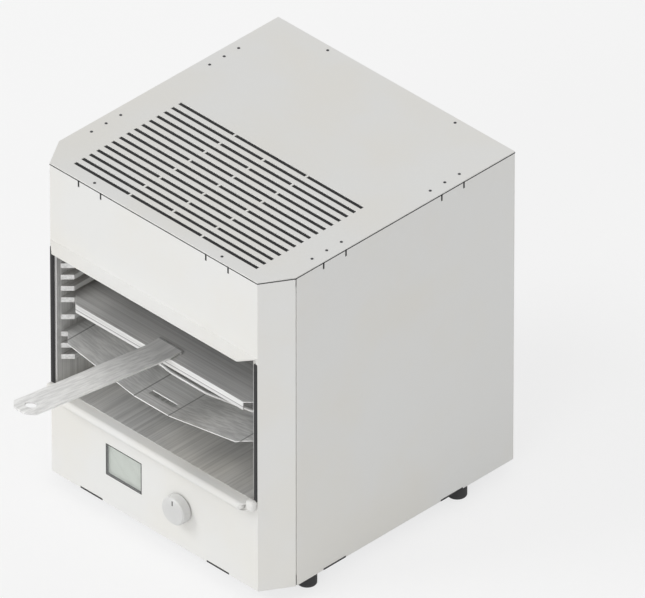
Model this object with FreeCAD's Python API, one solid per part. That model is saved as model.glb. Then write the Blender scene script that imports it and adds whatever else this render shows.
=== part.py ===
import FreeCAD, Part
import math
import os
from FreeCAD import Vector

# Open-front top-heat oven. Millimetres, +X right, +Y from the front to the back, +Z up.
# The origin is the middle of the cabinet's footprint on the surface that it stands on.

# Cabinet sheet metal
SHEET = 1.2
CABINET_WIDTH = 342.0
CABINET_DEPTH = 350.0
CABINET_HEIGHT = 386.0
CHAMFER_WIDTH = 21.0
CHAMFER_DEPTH = 34.0
SEAM_GAP = 1.6
RETURN_FLANGE = 16.0

# Front opening, its hemmed sides, visor and sill
OPENING_TOP_DROP = 96.0
CONTROL_PANEL_HEIGHT = 110.0
HEM_THICKNESS = 3.0
HEM_DEPTH = 10.0
VISOR_REACH = 14.0
VISOR_DROP = 3.0
SILL_REACH = 14.0
SILL_ROLL_RADIUS = 5.0
LIP_MITRE = 16.0

# Tabs that hold the top panel and the base plate to the walls
TAB_WIDTH = 32.0
TAB_HEIGHT = 12.0
TAB_NOTCH = 1.6
TAB_FRONT_SPREAD = 184.0
TAB_BACK_SPREAD = 184.0
TAB_SIDE_FRONT = 90.0
TAB_SIDE_REAR = 260.0
RIVET_RADIUS = 1.6
RIVET_HEAD_HEIGHT = 0.8
RIVET_SIDES = 8
RIVET_INSET = 6.0
RIVET_SIDE_INSET = 10.5
RIVET_PITCH = 21.0
SLIT_WIDTH = 1.4
SLIT_HEIGHT = 8.0

# Rows of vent slots in the top panel
VENT_ROWS = 15
VENT_COLUMNS = 4
VENT_ROW_PITCH = 10.7
VENT_FIRST_ROW = 19.0
VENT_SPAN = 264.0
VENT_BRIDGE = 4.0
VENT_SLOT_WIDTH = 3.6

# Feet
FOOT_HEIGHT = 15.0
FOOT_RADIUS = 10.5
FOOT_SIDE_INSET = 12.0
FOOT_FRONT_INSET = 62.0
FOOT_REAR_INSET = 70.0
FOOT_SCREW_RADIUS = 2.0
FOOT_SCREW_HEAD_RADIUS = 4.0
FOOT_SCREW_HEAD_HEIGHT = 2.4
FOOT_RECESS_DEPTH = 5.0
FIT_GAP = 0.2

# Heated cavity
LINER = 1.0
CAVITY_SIDE_INSET = 7.5
CAVITY_DEPTH = 282.0
CEILING_RISE = 37.0
STAND_INSET = 51.0
STAND_LENGTH = 190.0
STAND_FOOT = 14.0
WOOL_SIDE = 14.0
WOOL_TOP = 20.0
WOOL_BACK = 14.0

# Tray rails on the cavity walls
RAIL_REACH = 10.0
RAIL_HEIGHT = 6.0
RAIL_SKIN = 1.0
RAIL_FRONT_INSET = 7.0
RAIL_LENGTH = 266.0
RAIL_FIRST_HEIGHT = 31.0
RAIL_PITCH = 14.2
RAIL_GAP = 21.4
RAIL_LOWER_COUNT = 3
RAIL_UPPER_COUNT = 4

# Heating element, its reflector and its hangers
ELEMENT_RADIUS = 4.0
ELEMENT_SIDES = 10
ELEMENT_PASSES = 6
ELEMENT_SIDE_GAP = 41.0
ELEMENT_HALF_SPAN = 96.0
ELEMENT_FRONT_INSET = 42.0
ELEMENT_DROP = 18.0
HANGER_SHEET = 1.5
HANGER_SPACING = 110.0
HANGER_SKIRT = 7.0
HANGER_GAP = 0.2
REFLECTOR_SIDE_GAP = 11.5
REFLECTOR_DEPTH = 250.0
REFLECTOR_SKIRT = 24.0
REFLECTOR_SLOPE = 9.0
PROBE_RADIUS = 1.6
PROBE_REACH = 60.0
PROBE_DROP = 46.0
PROBE_OFFSET = 70.0
PROBE_NUT_RADIUS = 5.0
PROBE_NUT_HEIGHT = 5.0

# Control panel: display window, knob and their boards
DISPLAY_WIDTH = 51.0
DISPLAY_HEIGHT = 38.0
DISPLAY_OFFSET = -44.6
DISPLAY_RISE = 55.6
WINDOW_FLANGE = 3.0
WINDOW_FLANGE_DEPTH = 1.6
LCD_DEPTH = 4.0
LCD_MARGIN = 2.0
BOARD_THICKNESS = 1.6
CONTROL_BOARD_WIDTH = 150.0
CONTROL_BOARD_HEIGHT = 66.0
BOARD_SCREW_INSET = 5.0
STANDOFF_RADIUS = 3.0
KNOB_RADIUS = 16.0
KNOB_DEPTH = 11.0
KNOB_OFFSET = 38.5
KNOB_RISE = 50.0
KNOB_STAND_OFF = 1.6
KNOB_EDGE = 1.4
KNOB_MARK_WIDTH = 1.6
KNOB_MARK_LENGTH = 6.0
KNOB_MARK_DEPTH = 0.7
KNOB_SKIN = 3.0
KNOB_PRESS = 0.8
BUSHING_RADIUS = 3.5
BUSHING_REACH = 5.0
ENCODER_NUT_RADIUS = 6.0
ENCODER_NUT_HEIGHT = 2.0
ENCODER_SIZE = 13.0
SHAFT_RADIUS = 2.5
RUNNING_GAP = 0.05
PLUNGER_RADIUS = 3.0
PLUNGER_HEIGHT = 1.2

# Power electronics, fan and inlet in the base
POWER_BOARD_WIDTH = 110.0
POWER_BOARD_LENGTH = 90.0
POWER_BOARD_STAND_GAP = 1.0
POWER_BOARD_SETBACK = 130.0
POWER_STANDOFF_HEIGHT = 8.0
RELAY_SIZE = 28.0
RELAY_HEIGHT = 22.0
SINK_WIDTH = 40.0
SINK_LENGTH = 50.0
SINK_HEIGHT = 30.0
SINK_BASE = 4.0
SINK_FINS = 6
SINK_FIN = 1.6
TERMINAL_POLES = 4
TERMINAL_PITCH = 11.0
TERMINAL_DEPTH = 22.0
TERMINAL_HEIGHT = 18.0
FAN_SIZE = 80.0
FAN_DEPTH = 25.0
FAN_OFFSET = 70.0
FAN_RISE = 55.0
FAN_TIP_GAP = 1.0
FAN_HUB_RADIUS = 16.0
FAN_BLADES = 7
FAN_BLADE = 1.6
FAN_BLADE_TWIST = 35.0
FAN_SPOKE = 4.0
FAN_PLATE = 3.0
FAN_PIN_RADIUS = 2.0
GRILLE_BARS = 9
GRILLE_SLOT = 4.0
INLET_WIDTH = 28.0
INLET_HEIGHT = 20.0
INLET_DEPTH = 22.0
INLET_WALL = 2.0
INLET_FLANGE_WIDTH = 48.0
INLET_FLANGE_HEIGHT = 26.0
INLET_FLANGE_DEPTH = 3.0
INLET_OFFSET = -90.0
INLET_RISE = 40.0
INLET_PIN_SETBACK = 5.5
INLET_PIN_THICKNESS = 2.0
INLET_PIN_HEIGHT = 4.0
INLET_PIN_SPREAD = 7.0
INLET_PIN_STAGGER = 2.0

# Trays and the hooked lifter
TRAY_SHEET = 1.2
TRAY_SIDE_GAP = 5.0
TRAY_CORNER = 16.0
TRAY_DEPTH = 256.0
TRAY_RUN_GAP = 0.3
UPPER_TRAY_INSET = 7.5
UPPER_TRAY_LIP = 9.0
LOWER_TRAY_INSET = -4.0
LOWER_TRAY_DIP = 17.0
LOWER_TRAY_CHANNEL = 50.0
LOWER_TRAY_FLANGE = 12.0
HOOK_SLOT_LENGTH = 36.0
HOOK_SLOT_WIDTH = 6.5
HOOK_SLOT_SETBACK = 17.0
LIFTER_LENGTH = 220.0
LIFTER_WIDTH = 33.0
LIFTER_SHEET = 2.5
LIFTER_TILT = 7.8
LIFTER_CORNER = 9.0
LIFTER_HOLE_RADIUS = 6.0
LIFTER_HOLE_INSET = 17.0
LIFTER_TONGUE = 7.0
LIFTER_GAP = 0.3

# Planes that several pieces share
HALF_WIDTH = CABINET_WIDTH / 2
FRONT_Y = -CABINET_DEPTH / 2
BACK_Y = CABINET_DEPTH / 2
CHAMFER_Y = FRONT_Y + CHAMFER_DEPTH
BASE_Z = FOOT_HEIGHT
TOP_Z = BASE_Z + CABINET_HEIGHT
FACE_HALF = HALF_WIDTH - CHAMFER_WIDTH
INNER_HALF = HALF_WIDTH - SHEET
INNER_FRONT = FRONT_Y + SHEET
INNER_BACK = BACK_Y - SHEET
INNER_BASE = BASE_Z + SHEET
INNER_TOP = TOP_Z - SHEET
OPENING_TOP = TOP_Z - OPENING_TOP_DROP
SILL_Z = BASE_Z + CONTROL_PANEL_HEIGHT
CAVITY_HALF = FACE_HALF - CAVITY_SIDE_INSET
CAVITY_BACK = INNER_FRONT + CAVITY_DEPTH
CEILING_Z = OPENING_TOP + CEILING_RISE
ELEMENT_Z = CEILING_Z - ELEMENT_DROP
REFLECTOR_HALF = CAVITY_HALF - REFLECTOR_SIDE_GAP
ELEMENT_PITCH = 2 * (REFLECTOR_HALF - ELEMENT_SIDE_GAP) / (ELEMENT_PASSES - 1)
RAIL_FRONT = FRONT_Y + RAIL_FRONT_INSET
KNOB_Z = BASE_Z + KNOB_RISE
DISPLAY_Z = BASE_Z + DISPLAY_RISE
UP = Vector(0, 0, 1)
BACKWARD = Vector(0, 1, 0)
RIGHTWARD = Vector(1, 0, 0)


def block(x_low, x_high, y_low, y_high, z_low, z_high):
    """Box between two corners."""
    corner = Vector(x_low, y_low, z_low)
    return Part.makeBox(x_high - x_low, y_high - y_low, z_high - z_low, corner)


def rod(x, y, z, radius, length, direction):
    """Cylinder that starts at a point and runs along a direction."""
    return Part.makeCylinder(radius, length, Vector(x, y, z), direction)


def prism(points, direction):
    """Closed outline of points, extruded along a vector."""
    return Part.Face(Part.makePolygon(points + points[:1])).extrude(direction)


def hexagon_bar(x, y, z, radius, length, direction):
    """Six-sided bar that starts at a point and runs along a direction."""
    upward = direction.cross(RIGHTWARD)
    turns = [math.pi / 3 * index for index in range(6)]
    spokes = [RIGHTWARD * math.cos(turn) + upward * math.sin(turn) for turn in turns]
    return prism([Vector(x, y, z) + spoke * radius for spoke in spokes], direction * length)


def plan(points, z_low, z_high):
    """Outline of (x, y) points, extruded from one height to another."""
    return prism([Vector(x, y, z_low) for x, y in points], UP * (z_high - z_low))


def profile(points, x_low, x_high):
    """Outline of (y, z) points, extruded along X."""
    return prism([Vector(x_low, y, z) for y, z in points], RIGHTWARD * (x_high - x_low))


def joined(shapes):
    """Shapes that touch, as one solid."""
    result = shapes[0]
    for shape in shapes[1:]:
        result = result.fuse(shape)
    return result.removeSplitter()


def group(shapes):
    """Separate solids that share one node."""
    return Part.makeCompound(shapes)


def mirrored(shape):
    """Copy on the other side of the oven's middle plane."""
    return shape.mirror(Vector(0, 0, 0), RIGHTWARD)


def tab_places():
    """Middle of each tab on the walls' inner faces, with the outward direction of its wall."""
    places = []
    for side in (-1, 1):
        places.append((side * TAB_FRONT_SPREAD / 2, INNER_FRONT, 0, -1))
        places.append((side * TAB_BACK_SPREAD / 2, INNER_BACK, 0, 1))
        for distance in (TAB_SIDE_FRONT, TAB_SIDE_REAR):
            places.append((side * INNER_HALF, FRONT_Y + distance, side, 0))
    return places


def tab(place, z_low, z_high):
    """Sheet tab that lies against the inner face of a wall."""
    x, y, out_x, out_y = place
    if out_x:
        inner = x - out_x * SHEET
        return block(min(x, inner), max(x, inner), y - TAB_WIDTH / 2, y + TAB_WIDTH / 2, z_low, z_high)
    inner = y - out_y * SHEET
    return block(x - TAB_WIDTH / 2, x + TAB_WIDTH / 2, min(y, inner), max(y, inner), z_low, z_high)


def edge_notches():
    """Shallow notches along the walls' bottom edges, where the base plate's tabs show."""
    cuts = []
    for x, y, out_x, out_y in tab_places():
        reach_x = 2 * SHEET if out_x else TAB_WIDTH / 2
        reach_y = 2 * SHEET if out_y else TAB_WIDTH / 2
        cuts.append(block(x - reach_x, x + reach_x, y - reach_y, y + reach_y, BASE_Z, BASE_Z + TAB_NOTCH))
    return cuts


def relief_slits():
    """Upright slits in the walls' top edges, at both ends of each tab."""
    cuts = []
    for x, y, out_x, out_y in tab_places():
        for end in (-1, 1):
            middle_x = x if out_x else x + end * TAB_WIDTH / 2
            middle_y = y + end * TAB_WIDTH / 2 if out_x else y
            reach_x = 2 * SHEET if out_x else SLIT_WIDTH / 2
            reach_y = SLIT_WIDTH / 2 if out_x else 2 * SHEET
            cuts.append(block(middle_x - reach_x, middle_x + reach_x, middle_y - reach_y, middle_y + reach_y,
                              INNER_TOP - SLIT_HEIGHT, INNER_TOP))
    return cuts


def envelope(inset):
    """Plan of the cabinet, drawn in by a wall's thickness."""
    run = math.hypot(CHAMFER_WIDTH, CHAMFER_DEPTH)
    side = inset * (run - CHAMFER_DEPTH) / CHAMFER_WIDTH
    front = inset * (run - CHAMFER_WIDTH) / CHAMFER_DEPTH
    half = HALF_WIDTH - inset
    face = FACE_HALF - front
    return [
        (-face, FRONT_Y + inset),
        (face, FRONT_Y + inset),
        (half, CHAMFER_Y + side),
        (half, BACK_Y - inset),
        (-half, BACK_Y - inset),
        (-half, CHAMFER_Y + side),
    ]


def mitred(strip):
    """Lip of the front sheet with both ends cut back at a slant."""
    reach = max(VISOR_REACH, SILL_REACH)
    for side in (-1, 1):
        corner = [
            (side * FACE_HALF, FRONT_Y),
            (side * (FACE_HALF - LIP_MITRE), FRONT_Y - reach),
            (side * (FACE_HALF + LIP_MITRE), FRONT_Y - reach),
        ]
        strip = strip.cut(plan(corner, BASE_Z, TOP_Z))
    return strip


def rolled_sill():
    """Lip under the opening: a flat strip whose front edge rolls over and under."""
    roll_y = FRONT_Y - SILL_REACH + SILL_ROLL_RADIUS
    roll_z = SILL_Z - SILL_ROLL_RADIUS
    strip = block(-FACE_HALF, FACE_HALF, roll_y, INNER_FRONT, SILL_Z - SHEET, SILL_Z)
    roll = rod(-FACE_HALF, roll_y, roll_z, SILL_ROLL_RADIUS, 2 * FACE_HALF, RIGHTWARD)
    roll = roll.cut(rod(-FACE_HALF, roll_y, roll_z, SILL_ROLL_RADIUS - SHEET, 2 * FACE_HALF, RIGHTWARD))
    roll = roll.cut(block(-FACE_HALF, FACE_HALF, roll_y, roll_y + SILL_ROLL_RADIUS, roll_z, SILL_Z))
    return joined([strip, roll])


def front_frame():
    """Bent front sheet: header with visor, chamfered columns, control panel with sill."""
    skin = plan(envelope(0), BASE_Z, INNER_TOP).cut(plan(envelope(SHEET), BASE_Z, INNER_TOP))
    skin = skin.cut(block(-HALF_WIDTH, HALF_WIDTH, CHAMFER_Y, BACK_Y, BASE_Z, TOP_Z))
    opening = block(-FACE_HALF, FACE_HALF, FRONT_Y - SHEET, INNER_FRONT, SILL_Z, OPENING_TOP)
    skin = skin.cut(opening)
    visor = profile([
        (INNER_FRONT, OPENING_TOP),
        (FRONT_Y, OPENING_TOP),
        (FRONT_Y - VISOR_REACH, OPENING_TOP - VISOR_DROP),
        (FRONT_Y - VISOR_REACH, OPENING_TOP - VISOR_DROP + SHEET),
        (FRONT_Y, OPENING_TOP + SHEET),
        (INNER_FRONT, OPENING_TOP + SHEET),
    ], -FACE_HALF, FACE_HALF)
    pieces = [skin, mitred(visor), mitred(rolled_sill())]
    for side in (-1, 1):
        hem_inner = side * (FACE_HALF - HEM_THICKNESS)
        hem_outer = side * FACE_HALF
        hem_y = FRONT_Y + HEM_DEPTH
        pieces.append(block(min(hem_inner, hem_outer), max(hem_inner, hem_outer), FRONT_Y, hem_y,
                            SILL_Z, OPENING_TOP))
        flange_x = side * (INNER_HALF - SHEET)
        wall_x = side * INNER_HALF
        pieces.append(block(min(flange_x, wall_x), max(flange_x, wall_x), CHAMFER_Y - 2 * SHEET,
                            CHAMFER_Y + RETURN_FLANGE, INNER_BASE + TAB_HEIGHT, INNER_TOP - TAB_HEIGHT))
    sheet = joined(pieces)
    inside = plan(envelope(0), BASE_Z, TOP_Z)
    lips = block(-HALF_WIDTH, HALF_WIDTH, FRONT_Y - SILL_REACH, FRONT_Y, BASE_Z, TOP_Z)
    sheet = sheet.common(inside.fuse(lips))
    window = block(DISPLAY_OFFSET - DISPLAY_WIDTH / 2, DISPLAY_OFFSET + DISPLAY_WIDTH / 2,
                   FRONT_Y - SHEET, INNER_FRONT, DISPLAY_Z - DISPLAY_HEIGHT / 2, DISPLAY_Z + DISPLAY_HEIGHT / 2)
    sheet = sheet.cut(window)
    sheet = sheet.cut(rod(KNOB_OFFSET, FRONT_Y, KNOB_Z, BUSHING_RADIUS + FIT_GAP, SHEET, BACKWARD))
    return sheet.cut(group(edge_notches() + relief_slits()))


def side_panel(side):
    """Flat side wall, seamed to the chamfer in front and to the back panel."""
    outer = side * HALF_WIDTH
    inner = side * INNER_HALF
    wall = block(min(outer, inner), max(outer, inner), CHAMFER_Y + SEAM_GAP, INNER_BACK, BASE_Z, INNER_TOP)
    return wall.cut(group(edge_notches() + relief_slits()))


def back_panel():
    """Rear wall with the fan's grille and the inlet's cut-out."""
    wall = block(-HALF_WIDTH, HALF_WIDTH, INNER_BACK, BACK_Y, BASE_Z, INNER_TOP)
    fan_z = BASE_Z + FAN_RISE
    radius = FAN_SIZE / 2 - FAN_PLATE
    slots = []
    for index in range(GRILLE_BARS):
        offset = (index - (GRILLE_BARS - 1) / 2) * 2 * radius / GRILLE_BARS
        half = math.sqrt(radius ** 2 - (abs(offset) + GRILLE_SLOT / 2) ** 2)
        slots.append(block(FAN_OFFSET - half, FAN_OFFSET + half, INNER_BACK, BACK_Y,
                           fan_z + offset - GRILLE_SLOT / 2, fan_z + offset + GRILLE_SLOT / 2))
    inlet_z = BASE_Z + INLET_RISE
    half_width = INLET_WIDTH / 2 + FIT_GAP
    half_height = INLET_HEIGHT / 2 + FIT_GAP
    slots.append(block(INLET_OFFSET - half_width, INLET_OFFSET + half_width, INNER_BACK, BACK_Y,
                       inlet_z - half_height, inlet_z + half_height))
    return wall.cut(group(slots)).cut(group(edge_notches() + relief_slits()))


def top_panel():
    """Lid sheet with rows of vent slots and tabs turned down inside the walls."""
    lid = plan(envelope(0), INNER_TOP, TOP_Z)
    length = (VENT_SPAN - (VENT_COLUMNS - 1) * VENT_BRIDGE) / VENT_COLUMNS
    slots = []
    for row in range(VENT_ROWS):
        y = FRONT_Y + VENT_FIRST_ROW + row * VENT_ROW_PITCH
        for column in range(VENT_COLUMNS):
            x = -VENT_SPAN / 2 + column * (length + VENT_BRIDGE)
            slots.append(block(x, x + length, y - VENT_SLOT_WIDTH / 2, y + VENT_SLOT_WIDTH / 2,
                               INNER_TOP, TOP_Z))
    lid = lid.cut(group(slots))
    tabs = [tab(place, INNER_TOP - TAB_HEIGHT, INNER_TOP) for place in tab_places()]
    return joined([lid] + tabs)


def rivet_head(x, y):
    """Low eight-sided head on the top panel."""
    rings = []
    for radius, z in ((RIVET_RADIUS, TOP_Z), (RIVET_RADIUS / 2, TOP_Z + RIVET_HEAD_HEIGHT)):
        ring = []
        for index in range(RIVET_SIDES):
            angle = 2 * math.pi * index / RIVET_SIDES
            ring.append(Vector(x + radius * math.cos(angle), y + radius * math.sin(angle), z))
        rings.append(Part.makePolygon(ring + ring[:1]))
    return Part.makeLoft(rings, True, True)


def panel_rivets():
    """Low rivet heads along the top panel's edges, over its tabs."""
    heads = []
    for x, y, out_x, out_y in tab_places():
        offsets = (-RIVET_PITCH, 0, RIVET_PITCH) if out_x else (0,)
        for offset in offsets:
            head_x = x - out_x * RIVET_SIDE_INSET
            head_y = y - out_y * RIVET_INSET + offset
            heads.append(rivet_head(head_x, head_y))
    return group(heads)


def foot_places():
    """Middle of each foot, by name."""
    x = HALF_WIDTH - FOOT_SIDE_INSET
    front = FRONT_Y + FOOT_FRONT_INSET
    rear = BACK_Y - FOOT_REAR_INSET
    return {
        "foot_front_left": (-x, front),
        "foot_front_right": (x, front),
        "foot_rear_left": (-x, rear),
        "foot_rear_right": (x, rear),
    }


def base_plate():
    """Bottom sheet with up-turned tabs and a clear hole for each foot's screw."""
    plate = plan(envelope(SHEET), BASE_Z, INNER_BASE)
    tabs = [tab(place, BASE_Z, INNER_BASE + TAB_HEIGHT) for place in tab_places()]
    plate = joined([plate] + tabs)
    for x, y in foot_places().values():
        plate = plate.cut(rod(x, y, BASE_Z, FOOT_SCREW_RADIUS + FIT_GAP, SHEET, UP))
    return plate


def foot(x, y):
    """Round rubber foot with a recess for its screw's head."""
    pad = rod(x, y, 0, FOOT_RADIUS, FOOT_HEIGHT, UP)
    pad = pad.cut(rod(x, y, 0, FOOT_SCREW_HEAD_RADIUS + FIT_GAP, FOOT_RECESS_DEPTH, UP))
    return pad.cut(rod(x, y, 0, FOOT_SCREW_RADIUS + FIT_GAP, FOOT_HEIGHT, UP))


def foot_screws():
    """Pan-head screw up through each foot into a nut on the base plate."""
    screws = []
    for x, y in foot_places().values():
        head_z = FOOT_RECESS_DEPTH - FOOT_SCREW_HEAD_HEIGHT
        head = rod(x, y, head_z, FOOT_SCREW_HEAD_RADIUS, FOOT_SCREW_HEAD_HEIGHT, UP)
        shank = rod(x, y, FOOT_RECESS_DEPTH, FOOT_SCREW_RADIUS, INNER_BASE - FOOT_RECESS_DEPTH, UP)
        nut = hexagon_bar(x, y, INNER_BASE, FOOT_SCREW_HEAD_RADIUS, FOOT_SCREW_HEAD_HEIGHT, UP)
        screws.append(joined([head, shank, nut]))
    return group(screws)


def cavity_wall(side):
    """Side wall of the heated cavity, with a flange out to the opening's hem."""
    inner = side * CAVITY_HALF
    outer = side * (CAVITY_HALF + LINER)
    hem = side * (FACE_HALF - HEM_THICKNESS)
    wall = block(min(inner, outer), max(inner, outer), INNER_FRONT, CAVITY_BACK, SILL_Z, CEILING_Z)
    flange = block(min(inner, hem), max(inner, hem), INNER_FRONT, INNER_FRONT + LINER, SILL_Z, OPENING_TOP)
    return joined([wall, flange])


def cavity_plate(z_low):
    """Floor or ceiling sheet of the cavity."""
    half = CAVITY_HALF + LINER
    return block(-half, half, INNER_FRONT, CAVITY_BACK, z_low, z_low + LINER)


def element_columns():
    """X of each straight pass of the heating element."""
    middle = (ELEMENT_PASSES - 1) / 2
    return [(index - middle) * ELEMENT_PITCH for index in range(ELEMENT_PASSES)]


def leg_holes(gap):
    """Rods that clear the element's two legs and the probe through the back."""
    columns = element_columns()
    holes = []
    for x in (columns[0], columns[-1]):
        holes.append(rod(x, 0, ELEMENT_Z, ELEMENT_RADIUS + gap, CABINET_DEPTH, BACKWARD))
    return group(holes)


def cavity_back_wall():
    """Rear wall of the cavity, pierced for the element's legs and the probe."""
    half = CAVITY_HALF + LINER
    wall = block(-half, half, CAVITY_BACK, CAVITY_BACK + LINER, SILL_Z, CEILING_Z + LINER)
    wall = wall.cut(leg_holes(FIT_GAP))
    probe_z = CEILING_Z - PROBE_DROP
    return wall.cut(rod(PROBE_OFFSET, CAVITY_BACK, probe_z, PROBE_RADIUS + FIT_GAP, LINER, BACKWARD))


def rail_heights():
    """Underside of each tray rail: a lower group, one in the middle, an upper group."""
    heights = [SILL_Z + RAIL_FIRST_HEIGHT + index * RAIL_PITCH for index in range(RAIL_LOWER_COUNT)]
    heights.append(heights[-1] + RAIL_GAP)
    first_upper = heights[-1] + RAIL_GAP
    return heights + [first_upper + index * RAIL_PITCH for index in range(RAIL_UPPER_COUNT)]


def tray_rails():
    """Pressed rails of the left wall, each a hollow strip with slanted ends."""
    wall_x = -CAVITY_HALF
    rear = RAIL_FRONT + RAIL_LENGTH
    rails = []
    for z in rail_heights():
        outline = [
            (wall_x, RAIL_FRONT),
            (wall_x + RAIL_REACH, RAIL_FRONT + RAIL_REACH),
            (wall_x + RAIL_REACH, rear - RAIL_REACH),
            (wall_x, rear),
        ]
        hollow = [
            (wall_x, RAIL_FRONT + 3 * RAIL_SKIN),
            (wall_x + RAIL_REACH - RAIL_SKIN, RAIL_FRONT + RAIL_REACH + 2 * RAIL_SKIN),
            (wall_x + RAIL_REACH - RAIL_SKIN, rear - RAIL_REACH - 2 * RAIL_SKIN),
            (wall_x, rear - 3 * RAIL_SKIN),
        ]
        strip = plan(outline, z, z + RAIL_HEIGHT)
        rails.append(strip.cut(plan(hollow, z + RAIL_SKIN, z + RAIL_HEIGHT - RAIL_SKIN)))
    return group(rails)


def cavity_stand(side):
    """Folded sheet that carries the cavity's floor on the base plate."""
    x = side * (HALF_WIDTH - STAND_INSET)
    web = block(min(x, x - side * SHEET), max(x, x - side * SHEET), -STAND_LENGTH / 2, STAND_LENGTH / 2,
                INNER_BASE, SILL_Z - LINER)
    foot_x = x - side * STAND_FOOT
    flanges = []
    for z in (INNER_BASE, SILL_Z - LINER - SHEET):
        flanges.append(block(min(x, foot_x), max(x, foot_x), -STAND_LENGTH / 2, STAND_LENGTH / 2, z, z + SHEET))
    return joined([web] + flanges)


def wool_side(side):
    """Insulation board against a cavity wall."""
    inner = side * (CAVITY_HALF + LINER)
    outer = side * (CAVITY_HALF + LINER + WOOL_SIDE)
    return block(min(inner, outer), max(inner, outer), CHAMFER_Y, CAVITY_BACK, SILL_Z, CEILING_Z)


def wool_top():
    """Insulation board over the cavity's ceiling."""
    z = CEILING_Z + LINER
    return block(-CAVITY_HALF, CAVITY_HALF, INNER_FRONT + WOOL_TOP, CAVITY_BACK, z, z + WOOL_TOP)


def wool_back():
    """Insulation board behind the cavity, cut round the legs and the probe."""
    y = CAVITY_BACK + LINER
    board = block(-CAVITY_HALF, CAVITY_HALF, y, y + WOOL_BACK, SILL_Z, CEILING_Z)
    board = board.cut(leg_holes(FIT_GAP))
    probe_z = CEILING_Z - PROBE_DROP
    return board.cut(rod(PROBE_OFFSET, y, probe_z, PROBE_NUT_RADIUS + FIT_GAP, WOOL_BACK, BACKWARD))


def tube_section(x, y, radius):
    """Closed many-sided ring round the heater tube's axis."""
    step = 2 * math.pi / ELEMENT_SIDES
    turns = [step * index for index in range(ELEMENT_SIDES + 1)]
    return [Vector(x + radius * math.cos(turn), y, ELEMENT_Z + radius * math.sin(turn)) for turn in turns]


def heating_element():
    """Sheathed tube bent to and fro under the ceiling, both legs out through the back."""
    columns = element_columns()
    front = INNER_FRONT + ELEMENT_FRONT_INSET
    rear = front + 2 * ELEMENT_HALF_SPAN
    leg_end = CAVITY_BACK + LINER + WOOL_BACK + 3 * ELEMENT_RADIUS
    bend = ELEMENT_PITCH / 2
    edges = []
    for index, x in enumerate(columns):
        inward = index % 2 == 0
        first = index == 0
        last = index == ELEMENT_PASSES - 1
        start_y = (leg_end if first else rear) if inward else front
        stop_y = front if inward else (leg_end if last else rear)
        edges.append(Part.LineSegment(Vector(x, start_y, ELEMENT_Z), Vector(x, stop_y, ELEMENT_Z)).toShape())
        if not last:
            turn_y = front - bend if inward else rear + bend
            arc = Part.Arc(Vector(x, stop_y, ELEMENT_Z), Vector(x + bend, turn_y, ELEMENT_Z),
                           Vector(x + ELEMENT_PITCH, stop_y, ELEMENT_Z))
            edges.append(arc.toShape())
    path = Part.Wire(edges)
    section = Part.makePolygon(tube_section(columns[0], leg_end, ELEMENT_RADIUS))
    return path.makePipeShell([section], True, False)


def heater_hangers():
    """Two pierced strips that hang the element from the reflector."""
    half = element_columns()[-1] + ELEMENT_PITCH / 2
    middle = INNER_FRONT + ELEMENT_FRONT_INSET + ELEMENT_HALF_SPAN
    strips = []
    for side in (-1, 1):
        y = middle + side * HANGER_SPACING / 2
        strip = block(-half, half, y, y + HANGER_SHEET, ELEMENT_Z - HANGER_SKIRT, CEILING_Z - LINER)
        for x in element_columns():
            ring = tube_section(x, y, ELEMENT_RADIUS + HANGER_GAP)
            strip = strip.cut(prism(ring[:-1], BACKWARD * HANGER_SHEET))
        strips.append(strip)
    return group(strips)


def frustum(half_x, half_y, middle_y, z_top, z_low, spread):
    """Four-sided block that widens downwards."""
    wedge = Part.makeWedge(-half_x - spread, z_low, -half_y - spread, -half_y, -half_x,
                           half_x + spread, z_top, half_y + spread, half_y, half_x)
    wedge.rotate(Vector(), RIGHTWARD, 90)
    return wedge.translated(Vector(0, middle_y, 0))


def heat_reflector():
    """Dished sheet under the ceiling that throws the heat down."""
    half_x = REFLECTOR_HALF - REFLECTOR_SLOPE
    half_y = REFLECTOR_DEPTH / 2 - REFLECTOR_SLOPE
    middle = INNER_FRONT + CAVITY_DEPTH / 2
    low = CEILING_Z - REFLECTOR_SKIRT
    outer = frustum(half_x, half_y, middle, CEILING_Z, low, REFLECTOR_SLOPE)
    inner = frustum(half_x - LINER, half_y - LINER, middle, CEILING_Z - LINER, low, REFLECTOR_SLOPE)
    return outer.cut(inner).cut(leg_holes(FIT_GAP))


def probe():
    """Temperature probe through the cavity's back wall, with its nut outside."""
    z = CEILING_Z - PROBE_DROP
    nut_y = CAVITY_BACK + LINER
    stem = rod(PROBE_OFFSET, CAVITY_BACK - PROBE_REACH, z, PROBE_RADIUS, PROBE_REACH + LINER, BACKWARD)
    nut = hexagon_bar(PROBE_OFFSET, nut_y, z, PROBE_NUT_RADIUS, PROBE_NUT_HEIGHT, BACKWARD)
    return joined([stem, nut])


BOARD_FRONT = INNER_FRONT + WINDOW_FLANGE_DEPTH + LCD_DEPTH
BOARD_X = (DISPLAY_OFFSET + KNOB_OFFSET) / 2
BOARD_Z = (DISPLAY_Z + KNOB_Z) / 2
SHAFT_BACK = INNER_FRONT + 2 * PLUNGER_HEIGHT
KNOB_FRONT = FRONT_Y - KNOB_STAND_OFF - KNOB_DEPTH
BUSHING_FRONT = INNER_FRONT - BUSHING_REACH


def panel_block(x, z, width, height, y_low, y_high):
    """Block centred on a point of the control panel."""
    return block(x - width / 2, x + width / 2, y_low, y_high, z - height / 2, z + height / 2)


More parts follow.
